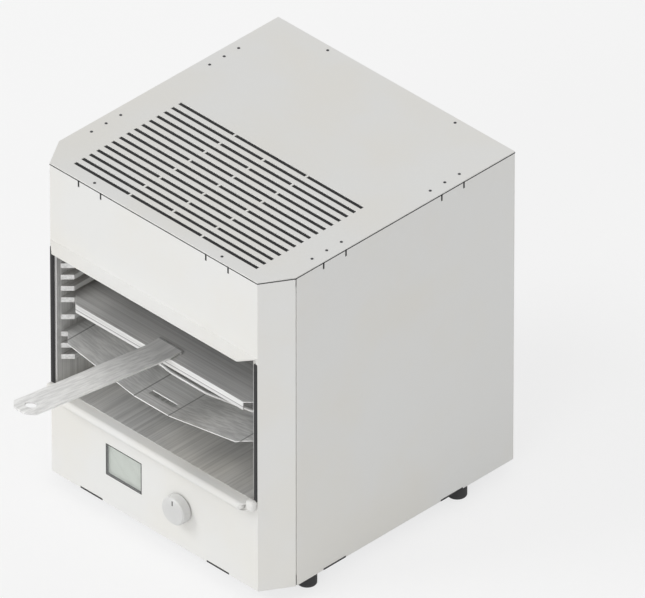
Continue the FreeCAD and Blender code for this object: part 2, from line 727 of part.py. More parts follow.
def display_window():
    """Clear window, flush in the front sheet, with a flange behind it."""
    pane = panel_block(DISPLAY_OFFSET, DISPLAY_Z, DISPLAY_WIDTH - 2 * FIT_GAP, DISPLAY_HEIGHT - 2 * FIT_GAP,
                       FRONT_Y, INNER_FRONT)
    flange = panel_block(DISPLAY_OFFSET, DISPLAY_Z, DISPLAY_WIDTH + 2 * WINDOW_FLANGE,
                         DISPLAY_HEIGHT + 2 * WINDOW_FLANGE, INNER_FRONT, INNER_FRONT + WINDOW_FLANGE_DEPTH)
    return joined([pane, flange])


def display_module():
    """Display glass and its frame between the window and the control board."""
    return panel_block(DISPLAY_OFFSET, DISPLAY_Z, DISPLAY_WIDTH + 2 * LCD_MARGIN, DISPLAY_HEIGHT + 2 * LCD_MARGIN,
                       INNER_FRONT + WINDOW_FLANGE_DEPTH, BOARD_FRONT)


def control_board():
    """Circuit board behind the control panel."""
    return panel_block(BOARD_X, BOARD_Z, CONTROL_BOARD_WIDTH, CONTROL_BOARD_HEIGHT,
                       BOARD_FRONT, BOARD_FRONT + BOARD_THICKNESS)


def control_standoffs():
    """Spacers between the front sheet and the control board's corners."""
    x = CONTROL_BOARD_WIDTH / 2 - BOARD_SCREW_INSET
    z = CONTROL_BOARD_HEIGHT / 2 - BOARD_SCREW_INSET
    length = BOARD_FRONT - INNER_FRONT
    posts = []
    for side in (-1, 1):
        for level in (-1, 1):
            posts.append(hexagon_bar(BOARD_X + side * x, INNER_FRONT, BOARD_Z + level * z,
                                     STANDOFF_RADIUS, length, BACKWARD))
    return group(posts)


def encoder():
    """Rotary encoder on the control board, its threaded bushing through the front sheet."""
    body = panel_block(KNOB_OFFSET, KNOB_Z, ENCODER_SIZE, ENCODER_SIZE, INNER_FRONT, BOARD_FRONT)
    bushing = rod(KNOB_OFFSET, BUSHING_FRONT, KNOB_Z, BUSHING_RADIUS, BUSHING_REACH, BACKWARD)
    shell = joined([body, bushing])
    bore = rod(KNOB_OFFSET, BUSHING_FRONT, KNOB_Z, SHAFT_RADIUS + RUNNING_GAP,
               SHAFT_BACK - BUSHING_FRONT, BACKWARD)
    pocket = rod(KNOB_OFFSET, SHAFT_BACK, KNOB_Z, PLUNGER_RADIUS + FIT_GAP,
                 PLUNGER_HEIGHT + KNOB_PRESS + FIT_GAP, BACKWARD)
    return shell.cut(bore).cut(pocket)


def encoder_nut():
    """Hexagon nut that clamps the bushing to the front sheet."""
    corners = []
    for index in range(6):
        angle = math.radians(60 * index)
        corners.append(Vector(KNOB_OFFSET + ENCODER_NUT_RADIUS * math.cos(angle), FRONT_Y - ENCODER_NUT_HEIGHT,
                              KNOB_Z + ENCODER_NUT_RADIUS * math.sin(angle)))
    nut = prism(corners, BACKWARD * ENCODER_NUT_HEIGHT)
    return nut.cut(rod(KNOB_OFFSET, FRONT_Y - ENCODER_NUT_HEIGHT, KNOB_Z, BUSHING_RADIUS + RUNNING_GAP,
                       ENCODER_NUT_HEIGHT, BACKWARD))


def encoder_shaft():
    """Shaft from the encoder into the knob."""
    front = KNOB_FRONT + KNOB_SKIN
    return rod(KNOB_OFFSET, front, KNOB_Z, SHAFT_RADIUS, SHAFT_BACK - front, BACKWARD)


def encoder_plunger():
    """Small disc behind the shaft that works the push contact."""
    return rod(KNOB_OFFSET, SHAFT_BACK, KNOB_Z, PLUNGER_RADIUS, PLUNGER_HEIGHT, BACKWARD)


def knob():
    """Round knob with an eased rim, a pointer groove and a recess over the nut."""
    body = rod(KNOB_OFFSET, KNOB_FRONT, KNOB_Z, KNOB_RADIUS, KNOB_DEPTH, BACKWARD)
    rim = [edge for edge in body.Edges if edge.BoundBox.YMax < KNOB_FRONT + KNOB_EDGE]
    body = body.makeChamfer(KNOB_EDGE, rim)
    recess_depth = FRONT_Y - KNOB_STAND_OFF - BUSHING_FRONT + KNOB_PRESS + FIT_GAP
    body = body.cut(rod(KNOB_OFFSET, FRONT_Y - KNOB_STAND_OFF - recess_depth, KNOB_Z,
                        ENCODER_NUT_RADIUS + KNOB_STAND_OFF, recess_depth, BACKWARD))
    front = KNOB_FRONT + KNOB_SKIN
    body = body.cut(rod(KNOB_OFFSET, front, KNOB_Z, SHAFT_RADIUS + RUNNING_GAP, KNOB_DEPTH, BACKWARD))
    mark_top = KNOB_Z + KNOB_RADIUS - 2 * KNOB_EDGE
    return body.cut(block(KNOB_OFFSET - KNOB_MARK_WIDTH / 2, KNOB_OFFSET + KNOB_MARK_WIDTH / 2,
                          KNOB_FRONT, KNOB_FRONT + KNOB_MARK_DEPTH, mark_top - KNOB_MARK_LENGTH, mark_top))


POWER_BOARD_LEFT = STAND_INSET + STAND_FOOT + POWER_BOARD_STAND_GAP - HALF_WIDTH
POWER_BOARD_OFFSET = POWER_BOARD_LEFT + POWER_BOARD_WIDTH / 2
POWER_Y = FRONT_Y + POWER_BOARD_SETBACK
POWER_Z = INNER_BASE + POWER_STANDOFF_HEIGHT
POWER_TOP = POWER_Z + BOARD_THICKNESS


def power_board():
    """Mains circuit board over the base plate."""
    return block(POWER_BOARD_OFFSET - POWER_BOARD_WIDTH / 2, POWER_BOARD_OFFSET + POWER_BOARD_WIDTH / 2,
                 POWER_Y - POWER_BOARD_LENGTH / 2, POWER_Y + POWER_BOARD_LENGTH / 2, POWER_Z, POWER_TOP)


def power_standoffs():
    """Spacers between the base plate and the power board's corners."""
    x = POWER_BOARD_WIDTH / 2 - BOARD_SCREW_INSET
    y = POWER_BOARD_LENGTH / 2 - BOARD_SCREW_INSET
    posts = []
    for side in (-1, 1):
        for end in (-1, 1):
            posts.append(hexagon_bar(POWER_BOARD_OFFSET + side * x, POWER_Y + end * y, INNER_BASE,
                                     STANDOFF_RADIUS, POWER_STANDOFF_HEIGHT, UP))
    return group(posts)


def relay():
    """Power relay at the front left of the power board."""
    x = POWER_BOARD_OFFSET - POWER_BOARD_WIDTH / 2 + BOARD_SCREW_INSET
    y = POWER_Y - POWER_BOARD_LENGTH / 2 + BOARD_SCREW_INSET
    return block(x, x + RELAY_SIZE, y, y + RELAY_SIZE, POWER_TOP, POWER_TOP + RELAY_HEIGHT)


def heat_sink():
    """Finned heat sink at the front right of the power board."""
    x = POWER_BOARD_OFFSET + POWER_BOARD_WIDTH / 2 - BOARD_SCREW_INSET - SINK_WIDTH
    y = POWER_Y - POWER_BOARD_LENGTH / 2 + BOARD_SCREW_INSET
    pieces = [block(x, x + SINK_WIDTH, y, y + SINK_LENGTH, POWER_TOP, POWER_TOP + SINK_BASE)]
    step = (SINK_WIDTH - SINK_FIN) / (SINK_FINS - 1)
    for index in range(SINK_FINS):
        left = x + index * step
        pieces.append(block(left, left + SINK_FIN, y, y + SINK_LENGTH, POWER_TOP, POWER_TOP + SINK_HEIGHT))
    return joined(pieces)


def terminal_block():
    """Screw terminals along the rear edge of the power board."""
    length = TERMINAL_POLES * TERMINAL_PITCH
    x = POWER_BOARD_OFFSET - length / 2
    y = POWER_Y + POWER_BOARD_LENGTH / 2 - TERMINAL_DEPTH
    body = block(x, x + length, y, y + TERMINAL_DEPTH, POWER_TOP, POWER_TOP + TERMINAL_HEIGHT)
    for index in range(TERMINAL_POLES):
        middle = x + (index + 0.5) * TERMINAL_PITCH
        body = body.cut(rod(middle, y + TERMINAL_DEPTH / 2, POWER_TOP + TERMINAL_HEIGHT / 2, TERMINAL_PITCH / 4,
                            TERMINAL_HEIGHT, UP))
    return body


FAN_Z = BASE_Z + FAN_RISE
FAN_FRONT = INNER_BACK - FAN_DEPTH
FAN_BORE = FAN_SIZE / 2 - FAN_PLATE / 2
FAN_TIP = FAN_BORE - FAN_TIP_GAP


def fan_frame():
    """Square fan housing on the back panel, with spokes to its motor plate and a spindle."""
    body = panel_block(FAN_OFFSET, FAN_Z, FAN_SIZE, FAN_SIZE, FAN_FRONT, INNER_BACK)
    body = body.cut(rod(FAN_OFFSET, FAN_FRONT, FAN_Z, FAN_BORE, FAN_DEPTH, BACKWARD))
    plate = rod(FAN_OFFSET, FAN_FRONT, FAN_Z, FAN_HUB_RADIUS, FAN_PLATE, BACKWARD)
    pieces = [body, plate]
    for width, height in ((FAN_SIZE - FAN_PLATE, FAN_SPOKE), (FAN_SPOKE, FAN_SIZE - FAN_PLATE)):
        pieces.append(panel_block(FAN_OFFSET, FAN_Z, width, height, FAN_FRONT, FAN_FRONT + FAN_PLATE))
    pieces.append(rod(FAN_OFFSET, FAN_FRONT, FAN_Z, FAN_PIN_RADIUS, FAN_DEPTH - FAN_PLATE, BACKWARD))
    return joined(pieces)


def fan_rotor():
    """Hub and slanted blades that turn on the fan's spindle."""
    hub_front = FAN_FRONT + FAN_PLATE + FAN_TIP_GAP / 2
    hub_depth = FAN_DEPTH - 2 * FAN_PLATE
    chord = hub_depth / math.cos(math.radians(FAN_BLADE_TWIST)) - FAN_BLADE
    hub = rod(FAN_OFFSET, hub_front, FAN_Z, FAN_HUB_RADIUS, hub_depth, BACKWARD)
    middle = Vector(FAN_OFFSET, hub_front + hub_depth / 2, FAN_Z)
    pieces = [hub]
    for index in range(FAN_BLADES):
        blade = Part.makeBox(FAN_TIP, FAN_BLADE, chord, Vector(0, -FAN_BLADE / 2, -chord / 2))
        blade.rotate(Vector(0, 0, 0), RIGHTWARD, 90 + FAN_BLADE_TWIST)
        blade.rotate(Vector(0, 0, 0), BACKWARD, index * 360 / FAN_BLADES)
        blade.translate(middle)
        pieces.append(blade)
    tips = rod(FAN_OFFSET, hub_front, FAN_Z, FAN_TIP, hub_depth, BACKWARD)
    wheel = joined(pieces).common(tips)
    return wheel.cut(rod(FAN_OFFSET, hub_front, FAN_Z, FAN_PIN_RADIUS + RUNNING_GAP, hub_depth, BACKWARD))


INLET_Z = BASE_Z + INLET_RISE
INLET_BOTTOM = BACK_Y + INLET_FLANGE_DEPTH - INLET_DEPTH + INLET_WALL


def mains_inlet():
    """Appliance inlet: flange outside the back panel and a recess for a lead's socket."""
    flange = panel_block(INLET_OFFSET, INLET_Z, INLET_FLANGE_WIDTH, INLET_FLANGE_HEIGHT,
                         BACK_Y, BACK_Y + INLET_FLANGE_DEPTH)
    body = panel_block(INLET_OFFSET, INLET_Z, INLET_WIDTH, INLET_HEIGHT,
                       INLET_BOTTOM - INLET_WALL, BACK_Y + INLET_FLANGE_DEPTH)
    recess = panel_block(INLET_OFFSET, INLET_Z, INLET_WIDTH - 2 * INLET_WALL, INLET_HEIGHT - 2 * INLET_WALL,
                         INLET_BOTTOM, BACK_Y + INLET_FLANGE_DEPTH)
    return joined([flange, body]).cut(recess)


def inlet_pins():
    """Three flat pins in the inlet's recess."""
    tip = BACK_Y + INLET_FLANGE_DEPTH - INLET_PIN_SETBACK
    pins = []
    for place in (-1, 0, 1):
        x = INLET_OFFSET + place * INLET_PIN_SPREAD
        z = INLET_Z - INLET_PIN_STAGGER if place else INLET_Z + INLET_PIN_STAGGER
        pins.append(panel_block(x, z, INLET_PIN_THICKNESS, INLET_PIN_HEIGHT, INLET_BOTTOM, tip))
    return group(pins)


RAILS = rail_heights()
UPPER_TRAY_Z = RAILS[RAIL_LOWER_COUNT + 1] + RAIL_HEIGHT + TRAY_RUN_GAP
LOWER_TRAY_Z = RAILS[RAIL_LOWER_COUNT - 1] + RAIL_HEIGHT + TRAY_RUN_GAP
UPPER_TRAY_FRONT = FRONT_Y + UPPER_TRAY_INSET
TRAY_HALF = CAVITY_HALF - TRAY_SIDE_GAP
LOWER_TRAY_FRONT = FRONT_Y + LOWER_TRAY_INSET


def tray_plan(front):
    """Tray outline with cut front corners, as (x, y) points."""
    half = TRAY_HALF
    return [
        (-half + TRAY_CORNER, front),
        (half - TRAY_CORNER, front),
        (half, front + TRAY_CORNER),
        (half, front + TRAY_DEPTH),
        (-half, front + TRAY_DEPTH),
        (-half, front + TRAY_CORNER),
    ]


def hook_slot(front, z_low, z_high):
    """Slot near a tray's front edge that takes the lifter's tongue."""
    y = front + HOOK_SLOT_SETBACK
    return block(-HOOK_SLOT_LENGTH / 2, HOOK_SLOT_LENGTH / 2, y - HOOK_SLOT_WIDTH / 2, y + HOOK_SLOT_WIDTH / 2,
                 z_low, z_high)


def upper_tray():
    """Flat tray on the upper rails, with a turned-down front lip."""
    plate = plan(tray_plan(UPPER_TRAY_FRONT), UPPER_TRAY_Z, UPPER_TRAY_Z + TRAY_SHEET)
    half = TRAY_HALF - TRAY_CORNER
    front_lip = block(-half, half, UPPER_TRAY_FRONT, UPPER_TRAY_FRONT + TRAY_SHEET,
                      UPPER_TRAY_Z - UPPER_TRAY_LIP, UPPER_TRAY_Z)
    tray = joined([plate, front_lip])
    return tray.cut(hook_slot(UPPER_TRAY_FRONT, UPPER_TRAY_Z, UPPER_TRAY_Z + TRAY_SHEET))


def lower_tray():
    """Folded drip tray: flat flanges on the rails, wings that slope to a flat channel."""
    half = TRAY_HALF
    shoulder = half - LOWER_TRAY_FLANGE
    channel = LOWER_TRAY_CHANNEL / 2
    low = LOWER_TRAY_Z - LOWER_TRAY_DIP
    under = [(-half, LOWER_TRAY_Z), (-shoulder, LOWER_TRAY_Z), (-channel, low), (channel, low),
             (shoulder, LOWER_TRAY_Z), (half, LOWER_TRAY_Z)]
    outline = under + [(x, z + TRAY_SHEET) for x, z in reversed(under)]
    sheet = prism([Vector(x, LOWER_TRAY_FRONT, z) for x, z in outline], BACKWARD * TRAY_DEPTH)
    trim = plan(tray_plan(LOWER_TRAY_FRONT), low, LOWER_TRAY_Z + TRAY_SHEET)
    return sheet.common(trim).cut(hook_slot(LOWER_TRAY_FRONT, low, low + TRAY_SHEET))


def tray_lifter():
    """Bent bar whose tongue hooks the upper tray's slot, with a hole to hang it by."""
    tilt = math.radians(LIFTER_TILT)
    rest_z = UPPER_TRAY_Z + TRAY_SHEET + LIFTER_GAP
    slot_y = UPPER_TRAY_FRONT + HOOK_SLOT_SETBACK
    bend_y = UPPER_TRAY_FRONT
    head = HOOK_SLOT_SETBACK + LIFTER_SHEET / 2
    reach = LIFTER_LENGTH - head
    end_y = bend_y - reach * math.cos(tilt)
    end_z = rest_z + reach * math.sin(tilt)
    rise_y = LIFTER_SHEET * math.sin(tilt)
    rise_z = LIFTER_SHEET * math.cos(tilt)
    outline = [
        (slot_y - LIFTER_SHEET / 2, rest_z - LIFTER_TONGUE),
        (slot_y - LIFTER_SHEET / 2, rest_z),
        (bend_y, rest_z),
        (end_y, end_z),
        (end_y + rise_y, end_z + rise_z),
        (bend_y + LIFTER_SHEET * math.tan(tilt / 2), rest_z + LIFTER_SHEET),
        (slot_y + LIFTER_SHEET / 2, rest_z + LIFTER_SHEET),
        (slot_y + LIFTER_SHEET / 2, rest_z - LIFTER_TONGUE),
    ]
    bar = profile(outline, -LIFTER_WIDTH / 2, LIFTER_WIDTH / 2)
    z_high = end_z + 2 * LIFTER_SHEET
    for side in (-1, 1):
        edge = side * LIFTER_WIDTH / 2
        corner = [(edge, end_y + LIFTER_CORNER), (edge - side * LIFTER_CORNER, end_y), (edge, end_y)]
        bar = bar.cut(plan(corner, rest_z, z_high))
    hole_y = end_y + LIFTER_HOLE_INSET
    return bar.cut(rod(0, hole_y, rest_z, LIFTER_HOLE_RADIUS, z_high - rest_z, UP))


left_rails = tray_rails()
nodes = {
    "front_frame": front_frame(),
    "left_side_panel": side_panel(-1),
    "right_side_panel": side_panel(1),
    "back_panel": back_panel(),
    "top_panel": top_panel(),
    "panel_rivets": panel_rivets(),
    "base_plate": base_plate(),
    "foot_screws": foot_screws(),
    "cavity_left_wall": cavity_wall(-1),
    "cavity_right_wall": cavity_wall(1),
    "cavity_back_wall": cavity_back_wall(),
    "cavity_floor": cavity_plate(SILL_Z - LINER),
    "cavity_ceiling": cavity_plate(CEILING_Z),
    "left_tray_rails": left_rails,
    "right_tray_rails": mirrored(left_rails),
    "left_cavity_stand": cavity_stand(-1),
    "right_cavity_stand": cavity_stand(1),
    "wool_left": wool_side(-1),
    "wool_right": wool_side(1),
    "wool_top": wool_top(),
    "wool_back": wool_back(),
    "heating_element": heating_element(),
    "heater_hangers": heater_hangers(),
    "heat_reflector": heat_reflector(),
    "temperature_probe": probe(),
    "display_window": display_window(),
    "display_module": display_module(),
    "control_board": control_board(),
    "control_standoffs": control_standoffs(),
    "encoder": encoder(),
    "encoder_nut": encoder_nut(),
    "encoder_shaft": encoder_shaft(),
    "encoder_plunger": encoder_plunger(),
    "knob": knob(),
    "power_board": power_board(),
    "power_standoffs": power_standoffs(),
    "relay": relay(),
    "heat_sink": heat_sink(),
    "terminal_block": terminal_block(),
    "fan_frame": fan_frame(),
    "fan_rotor": fan_rotor(),
    "mains_inlet": mains_inlet(),
    "inlet_pins": inlet_pins(),
    "upper_tray": upper_tray(),
    "lower_tray": lower_tray(),
    "tray_lifter": tray_lifter(),
}
for name, (x, y) in foot_places().items():
    nodes[name] = foot(x, y)

os.makedirs("parts", exist_ok=True)
for name, shape in nodes.items():
    shape.exportStep("parts/" + name + ".step")
    print(name, len(shape.Solids), round(shape.Volume, 1), shape.isValid())
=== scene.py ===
import logging
import math
from dataclasses import dataclass, replace
from enum import Enum
from typing import Any, Optional, Sequence, Union

import bmesh
import bpy
from mathutils import Matrix, Vector


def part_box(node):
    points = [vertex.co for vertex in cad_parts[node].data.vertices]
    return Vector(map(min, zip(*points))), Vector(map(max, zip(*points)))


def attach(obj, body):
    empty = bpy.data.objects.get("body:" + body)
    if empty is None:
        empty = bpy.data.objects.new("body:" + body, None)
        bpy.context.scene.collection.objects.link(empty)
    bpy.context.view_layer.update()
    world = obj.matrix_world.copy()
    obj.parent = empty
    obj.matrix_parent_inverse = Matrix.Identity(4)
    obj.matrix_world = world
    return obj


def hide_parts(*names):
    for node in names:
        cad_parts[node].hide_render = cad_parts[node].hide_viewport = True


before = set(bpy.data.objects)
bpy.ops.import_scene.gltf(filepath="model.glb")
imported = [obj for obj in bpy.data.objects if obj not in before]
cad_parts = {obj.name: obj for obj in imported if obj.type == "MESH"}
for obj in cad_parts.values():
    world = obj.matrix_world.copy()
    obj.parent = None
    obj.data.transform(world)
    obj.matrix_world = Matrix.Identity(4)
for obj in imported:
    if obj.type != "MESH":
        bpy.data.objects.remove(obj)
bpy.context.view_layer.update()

LOG = logging.getLogger("oven")

Number = Union[int, float]
Colour = tuple[float, float, float]
Point = tuple[float, float, float]
Span = tuple[float, float]
WHITE: Colour = (1.0, 1.0, 1.0)
MM = 0.001
WELD_REACH = 0.00001
AXIS_REACH = 1e-7
SORT_DIGITS = 5
MIX_FACTOR, MIX_FIRST, MIX_SECOND, MIX_RESULT = 0, 6, 7, 2
WEAR_SAMPLES = 6
WEAR_BAND: Span = (0.03, 0.25)
WEAR_PATCH = 55.0
WEAR_PATCH_BAND: Span = (0.35, 0.65)
CREVICE_SAMPLES = 8
BEVEL_SEGMENTS = 2
BEVEL_ANGLE = math.radians(40)
FACE_WEIGHT = 90
SMOOTH_ANGLE = math.radians(35)
ROUND_SEGMENTS = 3
ROUND_PROFILE = 0.5


class Sock:
    """A shader socket that takes part in Python expressions."""

    def __init__(self, nodes: "Nodes", socket: bpy.types.NodeSocket) -> None:
        """Wraps a socket.

        Args:
            nodes: The tree that the socket belongs to.
            socket: An output socket.
        """
        self.nodes = nodes
        self.socket = socket

    def _math(self, operation: str, first: "Value", second: "Value") -> "Sock":
        """Adds one Math node.

        Args:
            operation: The Math node's operation.
            first: Its first value.
            second: Its second value.

        Returns:
            The node's result.
        """
        return self.nodes.node("ShaderNodeMath", {"operation": operation}, {0: first, 1: second})

    def __add__(self, other: "Value") -> "Sock":
        """Sum."""
        return self._math("ADD", self, other)

    def __radd__(self, other: "Value") -> "Sock":
        """Sum, reflected."""
        return self._math("ADD", other, self)

    def __sub__(self, other: "Value") -> "Sock":
        """Difference."""
        return self._math("SUBTRACT", self, other)

    def __rsub__(self, other: "Value") -> "Sock":
        """Difference, reflected."""
        return self._math("SUBTRACT", other, self)

    def __mul__(self, other: "Value") -> "Sock":
        """Product."""
        return self._math("MULTIPLY", self, other)

    def __rmul__(self, other: "Value") -> "Sock":
        """Product, reflected."""
        return self._math("MULTIPLY", other, self)

    def __truediv__(self, other: "Value") -> "Sock":
        """Quotient."""
        return self._math("DIVIDE", self, other)

    def __gt__(self, other: "Value") -> "Sock":
        """1 where this is greater, else 0."""
        return self._math("GREATER_THAN", self, other)

    def __lt__(self, other: "Value") -> "Sock":
        """1 where this is less, else 0."""
        return self._math("LESS_THAN", self, other)

    def __abs__(self) -> "Sock":
        """Size without sign."""
        return self._math("ABSOLUTE", self, 0.0)

    def mod(self, period: "Value") -> "Sock":
        """Remainder, always positive."""
        return self._math("FLOORED_MODULO", self, period)

    def largest(self, other: "Value") -> "Sock":
        """Greater of two values."""
        return self._math("MAXIMUM", self, other)

    def ramp(self, low: float, high: float) -> "Sock":
        """Smooth step from 0 at low to 1 at high."""
        inputs = {"Value": self, "From Min": low, "From Max": high}
        return self.nodes.node("ShaderNodeMapRange", {"interpolation_type": "SMOOTHSTEP"}, inputs)


Value = Union[Sock, Number]


class Nodes:
    """A node tree under construction."""

    def __init__(self, tree: bpy.types.NodeTree) -> None:
        """Wraps a node tree.

        Args:
            tree: The tree that nodes are added to.
        """
        self.tree = tree

    def node(self, kind: str, settings: Optional[dict[str, Any]] = None,
             inputs: Optional[dict[Union[str, int], Any]] = None, out: Union[str, int] = 0) -> Sock:
        """Adds a node of any type.

        Args:
            kind: The node's type.
            settings: Properties, set before anything else.
            inputs: Values or sockets by input name or index.
            out: The output to hand back.

        Returns:
            The chosen output.
        """
        made = self.tree.nodes.new(kind)
        for key, value in (settings or {}).items():
            setattr(made, key, value)
        for key, value in (inputs or {}).items():
            self.feed(made.inputs[key], value)
        return Sock(self, made.outputs[out])

    def feed(self, target: bpy.types.NodeSocket, value: Any) -> None:
        """Links a socket or sets a constant.

        Args:
            target: The input to fill.
            value: A Sock to link, or a constant.
        """
        if isinstance(value, Sock):
            self.tree.links.new(value.socket, target)
        elif isinstance(value, tuple) and len(value) == 3 and target.type == "RGBA":
            target.default_value = (*value, 1.0)
        else:
            target.default_value = value

    def seen(self) -> Sock:
        """Finds the rays that show a thing straight on, mirrored or through glass.

        Returns:
            1 for those rays, else 0.
        """
        kinds = ("Camera", "Glossy", "Transmission")
        camera, glossy, through = [self.node("ShaderNodeLightPath", out=f"Is {kind} Ray") for kind in kinds]
        return camera.largest(glossy).largest(through)


class Paint(Nodes):
    """A node material under construction, with a Principled shader at its end."""

    def __init__(self, name: str) -> None:
        """Makes a node material that holds only its shader and output.

        Args:
            name: The material's name.
        """
        self.material = bpy.data.materials.new(name)
        self.material.use_nodes = True
        super().__init__(self.material.node_tree)
        self.tree.nodes.clear()
        self.output = self.tree.nodes.new("ShaderNodeOutputMaterial")
        self.shader = self.tree.nodes.new("ShaderNodeBsdfPrincipled")
        self.feed(self.output.inputs["Surface"], Sock(self, self.shader.outputs["BSDF"]))

    def set(self, **values: Any) -> "Paint":
        """Fills inputs of the Principled shader, with spaces written as underscores.

        Args:
            values: Constants or sockets by input name.

        Returns:
            This material, for chaining.
        """
        for key, value in values.items():
            self.feed(self.shader.inputs[key.replace("_", " ")], value)
        return self

    def place(self) -> Sock:
        """Position in the object's own frame, in metres."""
        return self.node("ShaderNodeTexCoord", out="Object")

    def axis(self, name: str, where: Optional[Sock] = None) -> Sock:
        """X, Y or Z of a position, or of the object's own place."""
        return self.node("ShaderNodeSeparateXYZ", None, {"Vector": where or self.place()}, name)

    def noise(self, scale: float, detail: float = 3.0, where: Optional[Sock] = None) -> Sock:
        """Soft noise from 0 to 1.

        Args:
            scale: Features per metre.
            detail: Octaves.
            where: The position that it is read at.

        Returns:
            The noise value.
        """
        place = where or self.place()
        return self.node("ShaderNodeTexNoise", None, {"Vector": place, "Scale": scale, "Detail": detail})

    def streaks(self, scale: Point, detail: float) -> Sock:
        """Noise from 0 to 1 with its own scale along each axis."""
        where = self.node("ShaderNodeVectorMath", {"operation": "MULTIPLY"}, {0: self.place(), 1: scale})
        return self.noise(1.0, detail, where)

    def mix(self, factor: Value, first: Any, second: Any) -> Sock:
        """Blend of two colours.

        Args:
            factor: 0 for the first, 1 for the second.
            first: A colour or a colour socket.
            second: A colour or a colour socket.

        Returns:
            The blended colour.
        """
        inputs = {MIX_FACTOR: factor, MIX_FIRST: first, MIX_SECOND: second}
        return self.node("ShaderNodeMix", {"data_type": "RGBA"}, inputs, MIX_RESULT)

    def bump(self, height: Sock, depth: float, strength: float = 1.0) -> Sock:
        """Bump normal from a height of 0 to 1.

        Args:
            height: The relief.
            depth: Its full height in metres.
            strength: How much of it shows.

        Returns:
            The bent normal.
        """
        values = {"Height": height, "Distance": depth, "Strength": strength}
        return self.node("ShaderNodeBump", None, values)

    def edge_wear(self, reach: float) -> Sock:
        """Rises to 1 along edges, in patches where hands and trays rub.

        Args:
            reach: How far from the edge it shows, in metres.

        Returns:
            The wear, from 0 to 1.
        """
        rounded = self.node("ShaderNodeBevel", {"samples": WEAR_SAMPLES}, {"Radius": reach})
        plain = self.node("ShaderNodeNewGeometry", out="Normal")
        inputs = {0: rounded, 1: plain}
        same = self.node("ShaderNodeVectorMath", {"operation": "DOT_PRODUCT"}, inputs, "Value")
        patches = self.noise(WEAR_PATCH, detail=4.0).ramp(*WEAR_PATCH_BAND)
        return (1 - same).ramp(*WEAR_BAND) * patches

    def dust_and_shade_mask(self, reach: float) -> Sock:
        """Rises to 1 in corners and crevices, read from ambient occlusion; it places dust and painted shade.
        """
        settings = {"samples": CREVICE_SAMPLES}
        return 1 - self.node("ShaderNodeAmbientOcclusion", settings, {"Distance": reach}, "AO")

    def dusted_and_shaded(self, tone: Any, reach: float, share: float, dust_and_shade: Colour) -> Sock:
        """A tone that turns to a given colour in corners and crevices, for dust, grime and painted shade
        there.
        """
        return self.mix(self.dust_and_shade_mask(reach) * share, tone, dust_and_shade)


class Grain(Enum):
    """Direction of a brushed or rolled finish."""

    ALONG_X = (4.0, 420.0, 420.0)
    ALONG_Y = (420.0, 4.0, 420.0)
    ALONG_Z = (420.0, 420.0, 4.0)


def shaded(colour: Colour, share: float) -> Colour:
    """A colour with all its parts scaled alike."""
    return tuple(part * share for part in colour)


def tinted(colour: Colour, shares: Colour) -> Colour:
    """A colour with each part scaled by its own share."""
    return tuple(part * share for part, share in zip(colour, shares))


@dataclass(frozen=True)
class PowderCoat:
    """Fine-textured baked powder paint whose corners are darker, partly dust and partly painted shade, with
    a little wear.
    """

    name: str
    colour: Colour
    warmth: Colour = (1.0, 0.985, 0.955)
    cloud: float = 9.0
    cloud_band: Span = (0.35, 0.7)
    crevice_reach: float = 0.012
    crevice_band: Span = (0.3, 0.75)
    crevice_shade: float = 0.86
    crevice_share: float = 0.7
    dust_rough: float = 0.2
    primer: Colour = (0.46, 0.46, 0.45)
    wear_reach: float = 0.0012
    wear_share: float = 0.5
    wear_polish: float = 0.1
    peel: float = 1500.0
    peel_rough: float = 0.12
    peel_depth: float = 0.00006
    peel_strength: float = 0.35
    rough: float = 0.58
    gloss: float = 0.3

    def paint(self) -> bpy.types.Material:
        """Makes the material.

        Returns:
            A material with an orange-peel bump, cloudy tone, and crevices that are rougher and darker, the
            darkening partly dust and partly painted shade.
        """
        paint = Paint(self.name)
        cloud = paint.noise(self.cloud, detail=4.0)
        peel = paint.noise(self.peel, detail=2.0)
        # corners and crevices, in patches: partly dust, partly painted shade
        dust_and_shade = paint.dust_and_shade_mask(self.crevice_reach) * cloud.ramp(*self.crevice_band)
        worn = paint.edge_wear(self.wear_reach)
        tone = paint.mix(cloud.ramp(*self.cloud_band), self.colour, tinted(self.colour, self.warmth))
        # darker paint there: painted shade, partly dust
        tone = paint.mix(dust_and_shade * self.crevice_share, tone, shaded(self.colour, self.crevice_shade))
        tone = paint.mix(worn * self.wear_share, tone, self.primer)
        rough = self.rough + peel * self.peel_rough + dust_and_shade * self.dust_rough - worn * self.wear_polish
        relief = paint.bump(peel, self.peel_depth, self.peel_strength)
        paint.set(Base_Color=tone, Roughness=rough, Normal=relief, Specular_IOR_Level=self.gloss)
        return paint.material


